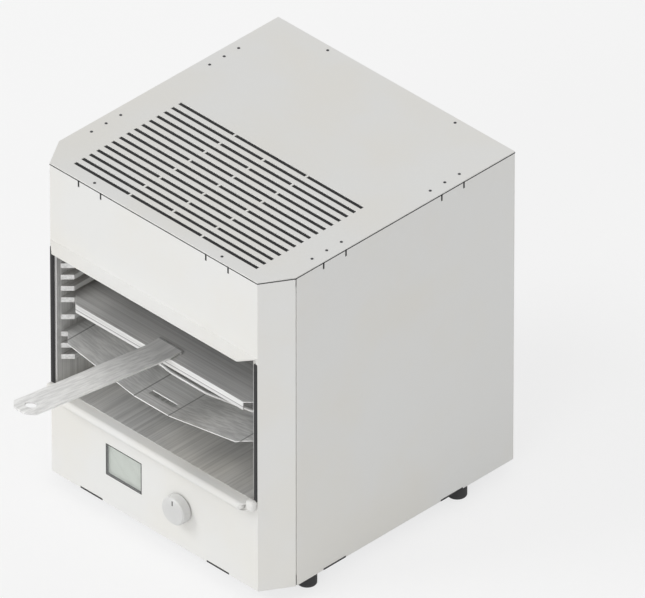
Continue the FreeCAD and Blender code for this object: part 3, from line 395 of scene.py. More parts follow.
@dataclass(frozen=True)
class BrushedSteel:
    """Bare sheet steel with fine lines along one direction, smudges and heat tint."""

    name: str
    colour: Colour
    grain: Grain
    rough: float = 0.28
    tint: float = 0.0
    metal: float = 1.0
    folds: tuple[tuple[str, float], ...] = ()
    mark: float = 0.0010
    crease_shade_colour: Colour = (0.16, 0.16, 0.16)
    crease_shade_share: float = 0.6
    line_band: Span = (0.3, 0.7)
    line_shade: float = 0.78
    line_rough: float = 0.16
    line_depth: float = 0.00003
    line_strength: float = 0.4
    smudge: float = 14.0
    smudge_band: Span = (0.45, 0.75)
    smudge_rough: float = 0.14
    heat: float = 7.0
    heat_band: Span = (0.4, 0.8)
    straw: Colour = (0.95, 0.84, 0.62)
    dirt_and_shade: Colour = (0.16, 0.14, 0.12)
    dirt_and_shade_reach: float = 0.015
    dirt_and_shade_share: float = 0.45

    def paint(self) -> bpy.types.Material:
        """Makes the material.

        Returns:
            A metal with brushed lines in its tone, gloss and relief.
        """
        paint = Paint(self.name)
        lines = paint.streaks(self.grain.value, detail=5.0)
        smudge = paint.noise(self.smudge, detail=5.0).ramp(*self.smudge_band)
        heat = paint.noise(self.heat).ramp(*self.heat_band)
        tone = paint.mix(lines.ramp(*self.line_band), shaded(self.colour, self.line_shade), self.colour)
        tone = paint.mix(heat * self.tint, tone, tinted(self.colour, self.straw))
        # darker in corners and crevices: grime and painted shade
        tone = paint.dusted_and_shaded(tone, self.dirt_and_shade_reach, self.dirt_and_shade_share, self.dirt_and_shade)
        # dark lines along the folds: painted crease shade
        for axis, fold in self.folds:
            line = 1 - abs(abs(paint.axis(axis)) - fold).ramp(self.mark / 2, self.mark)
            tone = paint.mix(line * self.crease_shade_share, tone, self.crease_shade_colour)
        rough = self.rough + lines * self.line_rough + smudge * self.smudge_rough
        relief = paint.bump(lines, self.line_depth, self.line_strength)
        return paint.set(Base_Color=tone, Metallic=self.metal, Roughness=rough, Normal=relief).material


@dataclass(frozen=True)
class ZincSheet:
    """Zinc-plated sheet with a faint crystal pattern."""

    name: str
    colour: Colour
    spangle: float = 120.0
    spangle_shade: float = 0.8
    spangle_share: float = 0.6
    spangle_rough: float = 0.18
    dirt_and_shade: Colour = (0.13, 0.13, 0.13)
    dirt_and_shade_reach: float = 0.01
    dirt_and_shade_share: float = 0.5
    rough: float = 0.3
    haze: float = 40.0
    haze_rough: float = 0.1

    def paint(self) -> bpy.types.Material:
        """Makes the material.

        Returns:
            A metal whose tone and gloss change from crystal to crystal.
        """
        paint = Paint(self.name)
        inputs = {"Vector": paint.place(), "Scale": self.spangle}
        crystal = paint.node("ShaderNodeTexVoronoi", None, inputs, "Color")
        value = paint.node("ShaderNodeSeparateColor", None, {"Color": crystal})
        tone = paint.mix(value * self.spangle_share, self.colour, shaded(self.colour, self.spangle_shade))
        # darker in corners and crevices: grime and painted shade
        tone = paint.dusted_and_shaded(tone, self.dirt_and_shade_reach, self.dirt_and_shade_share, self.dirt_and_shade)
        rough = self.rough + value * self.spangle_rough + paint.noise(self.haze) * self.haze_rough
        return paint.set(Base_Color=tone, Metallic=1.0, Roughness=rough).material


@dataclass(frozen=True)
class Plated:
    """Bright turned or pressed metal for fasteners, pins and shafts."""

    name: str
    colour: Colour
    rough: float = 0.2
    scratch: float = 900.0
    scratch_rough: float = 0.15
    scratch_depth: float = 0.00002
    scratch_strength: float = 0.3
    dirt_and_shade: Colour = (0.1, 0.095, 0.09)
    dirt_and_shade_reach: float = 0.003
    dirt_and_shade_share: float = 0.7

    def paint(self) -> bpy.types.Material:
        """Makes the material.

        Returns:
            A metal with fine scratches and darker crevices, as grime and painted shade.
        """
        paint = Paint(self.name)
        scratch = paint.noise(self.scratch, detail=4.0)
        # darker in crevices: grime and painted shade
        tone = paint.dusted_and_shaded(self.colour, self.dirt_and_shade_reach, self.dirt_and_shade_share, self.dirt_and_shade)
        rough = self.rough + scratch * self.scratch_rough
        relief = paint.bump(scratch, self.scratch_depth, self.scratch_strength)
        return paint.set(Base_Color=tone, Metallic=1.0, Roughness=rough, Normal=relief).material


@dataclass(frozen=True)
class HotSheath:
    """Heater tube that heat has browned in bands."""

    name: str
    colour: Colour
    scorched: Colour
    patch: float = 60.0
    patch_band: Span = (0.35, 0.7)
    scale: float = 700.0
    scale_rough: float = 0.3
    scale_depth: float = 0.00008
    scale_strength: float = 0.5
    metal: float = 0.75
    rough: float = 0.45

    def paint(self) -> bpy.types.Material:
        """Makes the material.

        Returns:
            An oxidised metal with scale in patches.
        """
        paint = Paint(self.name)
        patch = paint.noise(self.patch, detail=5.0).ramp(*self.patch_band)
        scale = paint.noise(self.scale)
        tone = paint.mix(patch, self.colour, self.scorched)
        rough = self.rough + scale * self.scale_rough
        relief = paint.bump(scale, self.scale_depth, self.scale_strength)
        return paint.set(Base_Color=tone, Metallic=self.metal, Roughness=rough, Normal=relief).material


@dataclass(frozen=True)
class Moulded:
    """Moulded plastic or rubber with a fine spark-eroded grain."""

    name: str
    colour: Colour
    rough: float = 0.45
    grain: float = 1800.0
    relief: float = 0.00005
    relief_strength: float = 0.4
    grain_rough: float = 0.12
    cloud: float = 30.0
    cloud_band: Span = (0.35, 0.7)
    cloud_shade: float = 0.88
    cloud_rough: float = 0.08
    crevice_reach: float = 0.004
    crevice_share: float = 0.5
    dust_fade: float = 0.7
    dust_tone: float = 0.12

    def paint(self) -> bpy.types.Material:
        """Makes the material.

        Returns:
            A grained plastic with dust in its corners.
        """
        paint = Paint(self.name)
        grain = paint.noise(self.grain, detail=2.0)
        cloud = paint.noise(self.cloud)
        dusty = tuple(self.dust_fade * part + self.dust_tone for part in self.colour)
        tone = paint.mix(cloud.ramp(*self.cloud_band), self.colour, shaded(self.colour, self.cloud_shade))
        tone = paint.dusted_and_shaded(tone, self.crevice_reach, self.crevice_share, dusty)
        rough = self.rough + grain * self.grain_rough + cloud * self.cloud_rough
        relief = paint.bump(grain, self.relief, self.relief_strength)
        return paint.set(Base_Color=tone, Roughness=rough, Normal=relief).material


@dataclass(frozen=True)
class WoolBoard:
    """Pressed mineral-fibre board."""

    name: str
    colour: Colour
    fibre: Point = (160.0, 160.0, 700.0)
    fibre_band: Span = (0.3, 0.7)
    fibre_shade: float = 0.7
    fibre_depth: float = 0.0006
    fibre_strength: float = 0.8
    rough: float = 0.95

    def paint(self) -> bpy.types.Material:
        """Makes the material.

        Returns:
            A matte, fibrous material.
        """
        paint = Paint(self.name)
        fibre = paint.streaks(self.fibre, detail=6.0)
        tone = paint.mix(fibre.ramp(*self.fibre_band), shaded(self.colour, self.fibre_shade), self.colour)
        relief = paint.bump(fibre, self.fibre_depth, self.fibre_strength)
        return paint.set(Base_Color=tone, Roughness=self.rough, Normal=relief).material


@dataclass(frozen=True)
class ClearWindow:
    """Clear hard-coated window over the display."""

    name: str
    colour: Colour
    veil: float = 0.14
    wipe: Point = (300.0, 300.0, 30.0)
    wipe_rough: float = 0.05
    rough: float = 0.04

    def paint(self) -> bpy.types.Material:
        """Makes the material.

        Returns:
            A see-through plastic with a few wiping marks.
        """
        paint = Paint(self.name)
        rough = self.rough + paint.streaks(self.wipe, detail=3.0) * self.wipe_rough
        return paint.set(Base_Color=self.colour, Roughness=rough, Alpha=self.veil).material


@dataclass(frozen=True)
class DisplayFace:
    """Unlit liquid-crystal glass with a dark rim and faint dot rows."""

    name: str
    colour: Colour
    rim: Colour
    centre: Point
    half: Span
    pitch: float = 0.0006
    gap: float = 0.2
    gap_shade: float = 0.93
    rim_band: Span = (0.980, 0.986)
    rim_rough: float = 0.2
    rough: float = 0.12

    def paint(self) -> bpy.types.Material:
        """Makes the material.

        Returns:
            A pale glossy face, dark at its border.
        """
        paint = Paint(self.name)
        shift = tuple(-value for value in self.centre)
        local = paint.node("ShaderNodeVectorMath", {"operation": "ADD"}, {0: paint.place(), 1: shift})
        across = paint.axis("X", local)
        up = paint.axis("Z", local)
        border = (abs(across) / self.half[0]).largest(abs(up) / self.half[1]).ramp(*self.rim_band)
        gap = self.gap * self.pitch
        dots = (across.mod(self.pitch) > gap) * (up.mod(self.pitch) > gap)
        tone = paint.mix(dots, shaded(self.colour, self.gap_shade), self.colour)
        tone = paint.mix(border, tone, self.rim)
        return paint.set(Base_Color=tone, Roughness=self.rough + border * self.rim_rough).material


@dataclass(frozen=True)
class SolderMask:
    """Circuit board with copper tracks under its lacquer."""

    name: str
    colour: Colour
    track: Colour
    pitch: float = 0.005
    track_share: float = 0.3
    track_run: int = 9
    track_depth: float = 0.00005
    track_strength: float = 0.5
    wander: float = 0.012
    wander_scale: float = 25.0
    rough: float = 0.22
    haze: float = 200.0
    haze_rough: float = 0.1

    def paint(self) -> bpy.types.Material:
        """Makes the material.

        Returns:
            A glossy lacquer with paler tracks.
        """
        paint = Paint(self.name)
        place = paint.place()
        wander = paint.noise(self.wander_scale, detail=1.0) * self.wander
        level = (paint.axis("Y", place) + paint.axis("Z", place) + wander).mod(self.pitch)
        reach = (paint.axis("X", place) + wander).mod(self.track_run * self.pitch)
        lines = (level < self.track_share * self.pitch) * (reach > self.pitch)
        tone = paint.mix(lines, self.colour, self.track)
        rough = self.rough + paint.noise(self.haze) * self.haze_rough
        relief = paint.bump(lines, self.track_depth, self.track_strength)
        return paint.set(Base_Color=tone, Roughness=rough, Normal=relief).material


LINER_STEEL: Colour = (0.88, 0.88, 0.87)


class Finish:
    """The finishes of this oven, one material each."""

    CABINET = PowderCoat("cabinet_powder_coat", (0.80, 0.80, 0.785)).paint()
    LINER = BrushedSteel("liner_brushed_upright", LINER_STEEL, Grain.ALONG_Z,
                         rough=0.44, tint=0.15, metal=0.75).paint()
    LINER_FLAT = BrushedSteel("liner_brushed_flat", LINER_STEEL, Grain.ALONG_Y,
                              rough=0.44, tint=0.2, metal=0.75).paint()
    RAIL = BrushedSteel("rail_brushed", LINER_STEEL, Grain.ALONG_Y, rough=0.42, tint=0.1, metal=0.75).paint()
    ZINC = ZincSheet("zinc_sheet", (0.58, 0.59, 0.60)).paint()
    BRIGHT = Plated("bright_plating", (0.70, 0.70, 0.72)).paint()
    RIVET = Plated("darkened_rivet", (0.07, 0.07, 0.075), rough=0.4).paint()
    BRASS = Plated("turned_brass", (0.72, 0.56, 0.28), rough=0.25).paint()
    REFLECTOR = BrushedSteel("reflector_rolled", (0.80, 0.80, 0.81), Grain.ALONG_X,
                             rough=0.16, tint=0.4).paint()
    SHEATH = HotSheath("heater_sheath", (0.27, 0.25, 0.24), scorched=(0.15, 0.11, 0.09)).paint()
    RUBBER = Moulded("black_rubber", (0.035, 0.035, 0.036), rough=0.7, grain=900.0, relief=0.0001).paint()
    BLACK = Moulded("black_plastic", (0.045, 0.045, 0.048)).paint()
    # near-black sheet under the vent slots: painted shade
    VENT_SHADE = Moulded("vent_shade_black", (0.012, 0.012, 0.013),
                     rough=0.8, grain=2500.0, relief=0.0002).paint()
    # near-black strips at the lid and the tabs: painted shade in the gaps
    GAP_SHADE = Moulded("gap_shade_black", (0.02, 0.02, 0.021), rough=0.75).paint()
    KNOB = Moulded("knob_plastic", (0.74, 0.74, 0.73), rough=0.36).paint()
    MARK = Moulded("pointer_inlay", (0.03, 0.03, 0.032), rough=0.5).paint()
    RELAY = Moulded("relay_plastic", (0.06, 0.13, 0.36), rough=0.25).paint()
    TERMINAL = Moulded("terminal_plastic", (0.62, 0.60, 0.53), rough=0.4).paint()
    SINK = BrushedSteel("sink_anodised", (0.34, 0.35, 0.37), Grain.ALONG_Z, rough=0.4).paint()
    WOOL = WoolBoard("wool_board", (0.80, 0.76, 0.66)).paint()
    WINDOW = ClearWindow("clear_window", (0.96, 0.98, 0.97)).paint()
    BOARD = SolderMask("solder_mask", (0.02, 0.16, 0.07), track=(0.05, 0.27, 0.12)).paint()


class Edge(Enum):
    """Width of the rounding along a piece's sharp edges, in metres."""

    PLAIN = 0.0
    FINE = 0.0002
    SMALL = 0.0003
    SHEET = 0.00035
    MOULDED = 0.0004
    CASE = 0.0006
    FOOT = 0.0008
    BOARD = 0.001


@dataclass
class Assembly:
    """A group of pieces that are built and dressed together, with its sizes in metres."""

    def build(self) -> None:
        """Makes the pieces that the CAD lacks. An assembly without any keeps this."""

    def finish(self) -> None:
        """Dresses the assembly's CAD nodes."""

    def dress(self, finish: bpy.types.Material, edge: Edge, *nodes: str) -> None:
        """Gives CAD nodes their finish and softens their sharp edges.

        Args:
            finish: Their material.
            edge: Width of the edge rounding.
            nodes: The nodes' names.
        """
        for node in nodes:
            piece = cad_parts[node]
            piece.data.materials.clear()
            piece.data.materials.append(finish)
            if edge is not Edge.PLAIN:
                self.soften(piece, edge)
            LOG.info("dressed %s", node)

    def soften(self, piece: bpy.types.Object, edge: Edge) -> None:
        """Rounds the sharp edges of a piece.

        Args:
            piece: The object.
            edge: Width of the rounding.
        """
        weld = piece.modifiers.new("joined_corners", "WELD")
        weld.merge_threshold = WELD_REACH
        bevel = piece.modifiers.new("soft_edges", "BEVEL")
        bevel.width = edge.value
        bevel.segments = BEVEL_SEGMENTS
        bevel.limit_method = "ANGLE"
        bevel.angle_limit = BEVEL_ANGLE
        bevel.use_clamp_overlap = True
        normals = piece.modifiers.new("flat_faces", "WEIGHTED_NORMAL")
        normals.weight = FACE_WEIGHT

    def add(self, name: str, mesh: bmesh.types.BMesh, finish: bpy.types.Material, body: str, slot: str,
            smooth: bool = True) -> bpy.types.Object:
        """Turns a mesh into a piece that rides on a body.

        Args:
            name: The piece's name.
            mesh: Its shape, which is freed.
            finish: Its material.
            body: The CAD body that it moves with.
            slot: The record's material slot; not used.
            smooth: Whether gentle edges are shaded smooth.

        Returns:
            The new object.
        """
        data = bpy.data.meshes.new(name)
        bmesh.ops.recalc_face_normals(mesh, faces=mesh.faces)
        mesh.to_mesh(data)
        mesh.free()
        data.materials.append(finish)
        piece = bpy.data.objects.new(name, data)
        bpy.context.scene.collection.objects.link(piece)
        if smooth:
            data.shade_smooth()
            data.set_sharp_from_angle(angle=SMOOTH_ANGLE)
        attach(piece, body)
        LOG.info("built %s", name)
        return piece


def islands(node: str) -> list[tuple[Vector, Vector]]:
    """Boxes of the separate solids in a CAD node.

    Args:
        node: The node's name.

    Returns:
        Lowest and highest corner of each solid.
    """
    mesh = bmesh.new()
    mesh.from_mesh(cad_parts[node].data)
    bmesh.ops.remove_doubles(mesh, verts=mesh.verts, dist=WELD_REACH)
    left = set(mesh.verts)
    boxes = []
    while left:
        front = [left.pop()]
        found = []
        while front:
            vert = front.pop()
            found.append(vert.co.copy())
            for edge in vert.link_edges:
                other = edge.other_vert(vert)
                if other in left:
                    left.remove(other)
                    front.append(other)
        low = Vector(min(point[axis] for point in found) for axis in range(3))
        high = Vector(max(point[axis] for point in found) for axis in range(3))
        boxes.append((low, high))
    mesh.free()
    return sorted(boxes, key=lambda box: tuple(round(value, SORT_DIGITS) for value in box[0]))


def lathe(mesh: bmesh.types.BMesh, outline: Sequence[Span], place: Matrix, steps: int = 24) -> None:
    """Turns an outline of radius and height round an axis into a mesh.

    Args:
        mesh: The mesh that it is added to.
        outline: Points of radius and height, from the axis out or from rim to rim.
        place: Where the axis stands; the outline's height runs along its local Z.
        steps: Sides of the turned shape.
    """
    rings = []
    for radius, height in outline:
        if radius < AXIS_REACH:
            rings.append([mesh.verts.new(place @ Vector((0, 0, height)))])
            continue
        angles = [2 * math.pi * step / steps for step in range(steps)]
        ring = [Vector((radius * math.cos(turn), radius * math.sin(turn), height)) for turn in angles]
        rings.append([mesh.verts.new(place @ point) for point in ring])
    for lower, upper in zip(rings, rings[1:]):
        for step in range(steps):
            ahead = (step + 1) % steps
            loop = [lower[step % len(lower)], lower[ahead % len(lower)],
                    upper[ahead % len(upper)], upper[step % len(upper)]]
            mesh.faces.new(list(dict.fromkeys(loop)))


def skin(mesh: bmesh.types.BMesh, rings: Sequence[Sequence[bmesh.types.BMVert]],
         capped: bool = True) -> None:
    """Joins rings of vertices into a tube.

    Args:
        mesh: The mesh that holds them.
        rings: The vertices of each ring, in order along the tube.
        capped: Whether its two ends are closed.
    """
    for near, far in zip(rings, rings[1:]):
        for corners in zip(near, [*near[1:], near[0]], [*far[1:], far[0]], far):
            mesh.faces.new(corners)
    if capped:
        mesh.faces.new(rings[0])
        mesh.faces.new(rings[-1])


def slab(mesh: bmesh.types.BMesh, low: Sequence[float], high: Sequence[float],
         round_over: float = 0.0) -> None:
    """Adds a box with rounded edges to a mesh.

    Args:
        mesh: The mesh that it is added to.
        low: Lowest corner.
        high: Highest corner.
        round_over: Radius of the edges.
    """
    size = [top - bottom for bottom, top in zip(low, high)]
    middle = [(top + bottom) / 2 for bottom, top in zip(low, high)]
    place = Matrix.Translation(middle) @ Matrix.Diagonal((*size, 1.0))
    made = bmesh.ops.create_cube(mesh, size=1.0, matrix=place)
    if round_over > 0:
        edges = list({edge for vert in made["verts"] for edge in vert.link_edges})
        bmesh.ops.bevel(mesh, geom=edges, offset=round_over, segments=ROUND_SEGMENTS,
                        profile=ROUND_PROFILE, affect="EDGES")


class Facing(Enum):
    """Outward direction of a head that sits on a sheet."""

    LEFT = (-1.0, 0.0, 0.0)
    RIGHT = (1.0, 0.0, 0.0)
    FRONT = (0.0, -1.0, 0.0)
    BACK = (0.0, 1.0, 0.0)
    TOP = (0.0, 0.0, 1.0)
    UNDER = (0.0, 0.0, -1.0)

    def stand(self, point: Sequence[float]) -> Matrix:
        """Frame at a point whose local Z looks outward."""
        turn = Vector(self.value).to_track_quat("Z", "Y").to_matrix().to_4x4()
        return Matrix.Translation(point) @ turn


@dataclass
class Cabinet(Assembly):
    """Painted outer sheets with their rivets, base plate and feet."""

    rivet_steps: int = 20
    dome_steps: int = 5
    dome_skirt: float = 0.15
    face_half: float = 0.150
    chamfer_depth: float = 0.0340
    opening_bottom: float = 0.1265
    shade_strip_top: float = 0.2985
    shade_strip_inner: float = 0.0048
    shade_strip_outer: float = 0.0003
    shade_strip_depth: float = 0.0050
    shade_strip_proud: float = 0.0016
    shade_strip_round: float = 0.00128
    sheet: float = 0.0012
    vent_rows: int = 15
    vent_first: float = 0.0190
    vent_pitch: float = 0.0107
    vent_span: float = 0.2640
    vent_width: float = 0.0046
    vent_bridge: float = 0.0024
    vent_breaks: tuple[tuple[float, ...], ...] = ((-0.0520, 0.0520), (0.0,))
    shade_sheet_margin: float = 0.0080
    shade_sheet_thickness: float = 0.0008
    shade_sheet_round: float = 0.0002
    seam_height: float = 0.0011
    seam_proud: float = 0.00015
    tab_width: float = 0.0320
    tab_spread: float = 0.1840
    tab_distances: Span = (0.0900, 0.2600)
    notch: float = 0.0020
    slit_width: float = 0.0020
    slit_height: float = 0.0080
    cap_size: Point = (0.0105, 0.0085, 0.0120)
    cap_inset: float = 0.0050
    cap_below: float = 0.75
    cap_round: float = 0.35
    sill: float = 0.1250
    roll_wall: float = 0.0012
    roll_radius: float = 0.0037
    roll_end: float = 0.1375
    plug_length: float = 0.0060
    plug_straight: float = 0.8
    plug_nose: float = 0.7

    def build(self) -> None:
        """Adds the rivet heads, the dark strips beside the opening, sill caps, lid, the dark sheet under the
        vents and the dark strips at the seams; the dark sheet and strips are painted shade.
        """
        self.rivets()
        self.shade_strips()
        self.sill_caps()
        self.lid()
        self.vent_shade_sheet()
        self.lid_shadow_line()
        self.tab_shadow_fills()

    def plan(self, grow: float = 0.0) -> list[Span]:
        """Outline of the cabinet from above, with its chamfered front corners.

        Args:
            grow: How far the outline is moved outward, in metres.

        Returns:
            Corners of the outline, anticlockwise.
        """
        low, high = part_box("top_panel")
        chamfer = low.y + self.chamfer_depth
        corners = [Vector(point) for point in (
            (-self.face_half, low.y), (self.face_half, low.y), (high.x, chamfer),
            (high.x, high.y), (low.x, high.y), (low.x, chamfer))]
        moved = []
        for before, here, after in zip(corners[-1:] + corners, corners, corners[1:] + corners[:1]):
            first = (here - before).normalized()
            second = (after - here).normalized()
            out = Vector((first.y, -first.x)) + Vector((second.y, -second.x))
            moved.append(tuple(here + out * grow / (1 + first.dot(second))))
        return moved

    def tab_places(self) -> list[tuple[Vector, Vector]]:
        """Finds the tabs of the lid and of the base plate.

        Returns:
            For each tab a point on the wall's outer face, at height zero, and the outward direction.
        """
        low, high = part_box("top_panel")
        places = []
        for side in (-1.0, 1.0):
            across = side * self.tab_spread / 2
            places.append((Vector((across, low.y, 0.0)), Vector((0.0, -1.0, 0.0))))
            places.append((Vector((across, high.y, 0.0)), Vector((0.0, 1.0, 0.0))))
            for along in self.tab_distances:
                places.append((Vector((side * high.x, low.y + along, 0.0)), Vector((side, 0.0, 0.0))))
        return places

    def wall_block(self, mesh: bmesh.types.BMesh, place: tuple[Vector, Vector], span: Span, depth: Span,
                   level: Span) -> None:
        """Adds a block that is set out from a tab's place on its wall.

        Args:
            mesh: The mesh that it is added to.
            place: Point on the wall and outward direction.
            span: Start and end along the wall.
            depth: Start and end along the outward direction.
            level: Lowest and highest height.
        """
        point, outward = place
        along = Vector((abs(outward.y), abs(outward.x), 0.0))
        ends = []
        for across, out, height in zip(span, depth, level):
            ends.append(point + along * across + outward * out + Vector((0.0, 0.0, height)))
        slab(mesh, [min(pair) for pair in zip(*ends)], [max(pair) for pair in zip(*ends)])

    def dashes(self, row: int) -> list[Span]:
        """Finds the slots of a vent row.

        Args:
            row: The row's number, from the front.

        Returns:
            Start and end of each slot, across the lid.
        """
        breaks = self.vent_breaks[row % len(self.vent_breaks)]
        starts = [-self.vent_span / 2] + [middle + self.vent_bridge / 2 for middle in breaks]
        ends = [middle - self.vent_bridge / 2 for middle in breaks] + [self.vent_span / 2]
        return list(zip(starts, ends))

    def lid(self) -> None:
        """Replaces the top panel by one whose rows of slots are staggered."""
        low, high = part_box("top_panel")
        loops = [self.plan()]
        for row in range(self.vent_rows):
            front = low.y + self.vent_first + row * self.vent_pitch - self.vent_width / 2
            back = front + self.vent_width
            for start, end in self.dashes(row):
                loops.append([(start, front), (end, front), (end, back), (start, back)])
        mesh = bmesh.new()
        edges = []
        for loop in loops:
            corners = [mesh.verts.new((x, y, high.z)) for x, y in loop]
            edges += [mesh.edges.new(pair) for pair in zip(corners, corners[1:] + corners[:1])]
        filled = bmesh.ops.triangle_fill(mesh, use_beauty=True, edges=edges)["geom"]
        faces = [part for part in filled if isinstance(part, bmesh.types.BMFace)]
        under = bmesh.ops.extrude_face_region(mesh, geom=faces)["geom"]
        corners = [part for part in under if isinstance(part, bmesh.types.BMVert)]
        bmesh.ops.translate(mesh, verts=corners, vec=(0.0, 0.0, -self.sheet))
        half = self.tab_width / 2
        depth = (-self.sheet, -2 * self.sheet)
        for place in self.tab_places():
            self.wall_block(mesh, place, (-half, half), depth, (low.z, high.z - self.sheet))
        lid = self.add("vented_lid", mesh, Finish.CABINET, "cabinet", "cabinet_paint", smooth=False)
        self.soften(lid, Edge.SHEET)
        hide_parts("top_panel")

    def vent_shade_sheet(self) -> None:
        """Hangs a dark sheet under the vent slots, as painted shade in the slots."""
        low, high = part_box("top_panel")
        under = high.z - self.sheet
        half = self.vent_span / 2 + self.shade_sheet_margin
        front = low.y + self.vent_first - self.shade_sheet_margin
        back = low.y + self.vent_first + (self.vent_rows - 1) * self.vent_pitch + self.shade_sheet_margin
        mesh = bmesh.new()
        lowest = (-half, front, under - self.shade_sheet_thickness)
        slab(mesh, lowest, (half, back, under), self.shade_sheet_round)
        # a near-black sheet: painted shade in the slots
        self.add("vent_shade_sheet", mesh, Finish.VENT_SHADE, "cabinet", "black_plastic")

    def lid_shadow_line(self) -> None:
        """Runs a dark strip round the walls under the lid, as a painted shadow gap."""
        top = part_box("top_panel")[1].z - self.sheet
        bottom = top - self.seam_height
        mesh = bmesh.new()
        rings = []
        for grow, level in ((0.0, top), (self.seam_proud, top), (self.seam_proud, bottom), (0.0, bottom)):
            rings.append([mesh.verts.new((x, y, level)) for x, y in self.plan(grow)])
        skin(mesh, rings + rings[:1], capped=False)
        # a dark strip: painted shadow gap under the lid
        self.add("lid_shadow_line", mesh, Finish.GAP_SHADE, "cabinet", "black_rubber", smooth=False)

    def tab_shadow_fills(self) -> None:
        """Fills the base tabs' notches and the slits beside the lid's tabs with dark strips, as painted
        shade in these gaps.
        """
        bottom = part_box("back_panel")[0].z
        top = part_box("top_panel")[1].z - self.sheet
        depth = (self.seam_proud, -self.sheet)
        half = self.tab_width / 2
        mesh = bmesh.new()
        for place in self.tab_places():
            self.wall_block(mesh, place, (-half, half), depth, (bottom, bottom + self.notch))
            for end in (-half, half):
                span = (end - self.slit_width / 2, end + self.slit_width / 2)
                self.wall_block(mesh, place, span, depth, (top - self.slit_height, top))
        # dark strips: painted shade in the notches and slits
        self.add("tab_shadow_fills", mesh, Finish.GAP_SHADE, "cabinet", "black_rubber", smooth=False)

    def shade_strips(self) -> None:
        """Sets a dark strip over the hem on each side of the opening, as the painted shadow gap between hem
        and liner.
        """
        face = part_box("top_panel")[0].y
        for name, side in (("left", -1), ("right", 1)):
            mesh = bmesh.new()
            inner, outer = self.face_half - self.shade_strip_inner, self.face_half - self.shade_strip_outer
            ends = sorted((side * inner, side * outer))
            low = (ends[0], face - self.shade_strip_proud, self.opening_bottom)
            high = (ends[1], face + self.shade_strip_depth, self.shade_strip_top)
            # dark strip: painted shadow gap beside the hem
            slab(mesh, low, high, self.shade_strip_round)
            self.add(f"opening_shade_strip_{name}", mesh, Finish.RUBBER, "cabinet", "black_rubber")

    def sill_caps(self) -> None:
        """Closes each end of the rolled sill with a small rounded cap."""
        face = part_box("top_panel")[0].y
        wide, deep, tall = self.cap_size
        for name, side in (("left", -1), ("right", 1)):
            mesh = bmesh.new()
            centre = side * (self.face_half - self.cap_inset)
            low = (centre - wide / 2, face - deep, self.opening_bottom - tall * self.cap_below)
            high = (centre + wide / 2, face, self.opening_bottom + tall * (1 - self.cap_below))
            slab(mesh, low, high, deep * self.cap_round)
            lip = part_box("front_frame")[0].y
            axis = lip + self.roll_wall + self.roll_radius
            level = self.sill - self.roll_wall - self.roll_radius
            facing = Facing.RIGHT if side > 0 else Facing.LEFT
            seat = (side * (self.roll_end - self.plug_length), axis, level)
            length = self.plug_length
            outline = [(0.0, 0.0), (self.roll_radius, 0.0), (self.roll_radius, length * self.plug_straight),
                       (self.roll_radius * self.plug_nose, length), (0.0, length)]
            lathe(mesh, outline, facing.stand(seat))
            self.add(f"sill_cap_{name}", mesh, Finish.CABINET, "cabinet", "cabinet_paint")

    def rivets(self) -> None:
        """Replaces the plain rivet heads by domed ones."""
        mesh = bmesh.new()
        low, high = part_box("top_panel")
        for bottom, top in islands("panel_rivets"):
            size = top - bottom
            thin = min(range(3), key=lambda axis: size[axis])
            middle = (bottom + top) / 2
            outward = middle[thin] > (low[thin] + high[thin]) / 2
            facing = Facing(tuple((1.0 if outward else -1.0) if axis == thin else 0.0 for axis in range(3)))
            seat = middle.copy()
            seat[thin] = bottom[thin] if outward else top[thin]
            radius = max(size) / 2
            height = size[thin]
            outline = [(0.0, 0.0), (radius, 0.0)]
            for step in range(self.dome_steps):
                turn = math.pi / 2 * step / self.dome_steps
                rise = self.dome_skirt + (1 - self.dome_skirt) * math.sin(turn)
                outline.append((radius * math.cos(turn), height * rise))
            outline.append((0.0, height))
            lathe(mesh, outline, facing.stand(seat), self.rivet_steps)
        heads = self.add("rivet_heads", mesh, Finish.RIVET, "cabinet", "dark_rivet")
        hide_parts("panel_rivets")

    def finish(self) -> None:
        """Paints the sheets and dresses base and feet."""
        sheets = ("front_frame", "left_side_panel", "right_side_panel", "back_panel")
        feet = [f"foot_{end}_{side}" for end in ("front", "rear") for side in ("left", "right")]
        self.dress(Finish.CABINET, Edge.SHEET, *sheets)
        self.dress(Finish.ZINC, Edge.SHEET, "base_plate")
        self.dress(Finish.BRIGHT, Edge.PLAIN, "foot_screws")
        self.dress(Finish.RUBBER, Edge.FOOT, *feet)


@dataclass
class Cavity(Assembly):
    """Steel liner of the cooking space with its rails, stands and insulation."""

    def finish(self) -> None:
        """Dresses the liner, rails, stands and wool boards."""
        self.dress(Finish.LINER, Edge.SHEET, "cavity_left_wall", "cavity_right_wall", "cavity_back_wall")
        self.dress(Finish.LINER_FLAT, Edge.SHEET, "cavity_floor", "cavity_ceiling")
        self.dress(Finish.RAIL, Edge.SHEET, "left_tray_rails", "right_tray_rails")
        self.dress(Finish.ZINC, Edge.SHEET, "left_cavity_stand", "right_cavity_stand")
        self.dress(Finish.WOOL, Edge.BOARD, "wool_left", "wool_right", "wool_top", "wool_back")


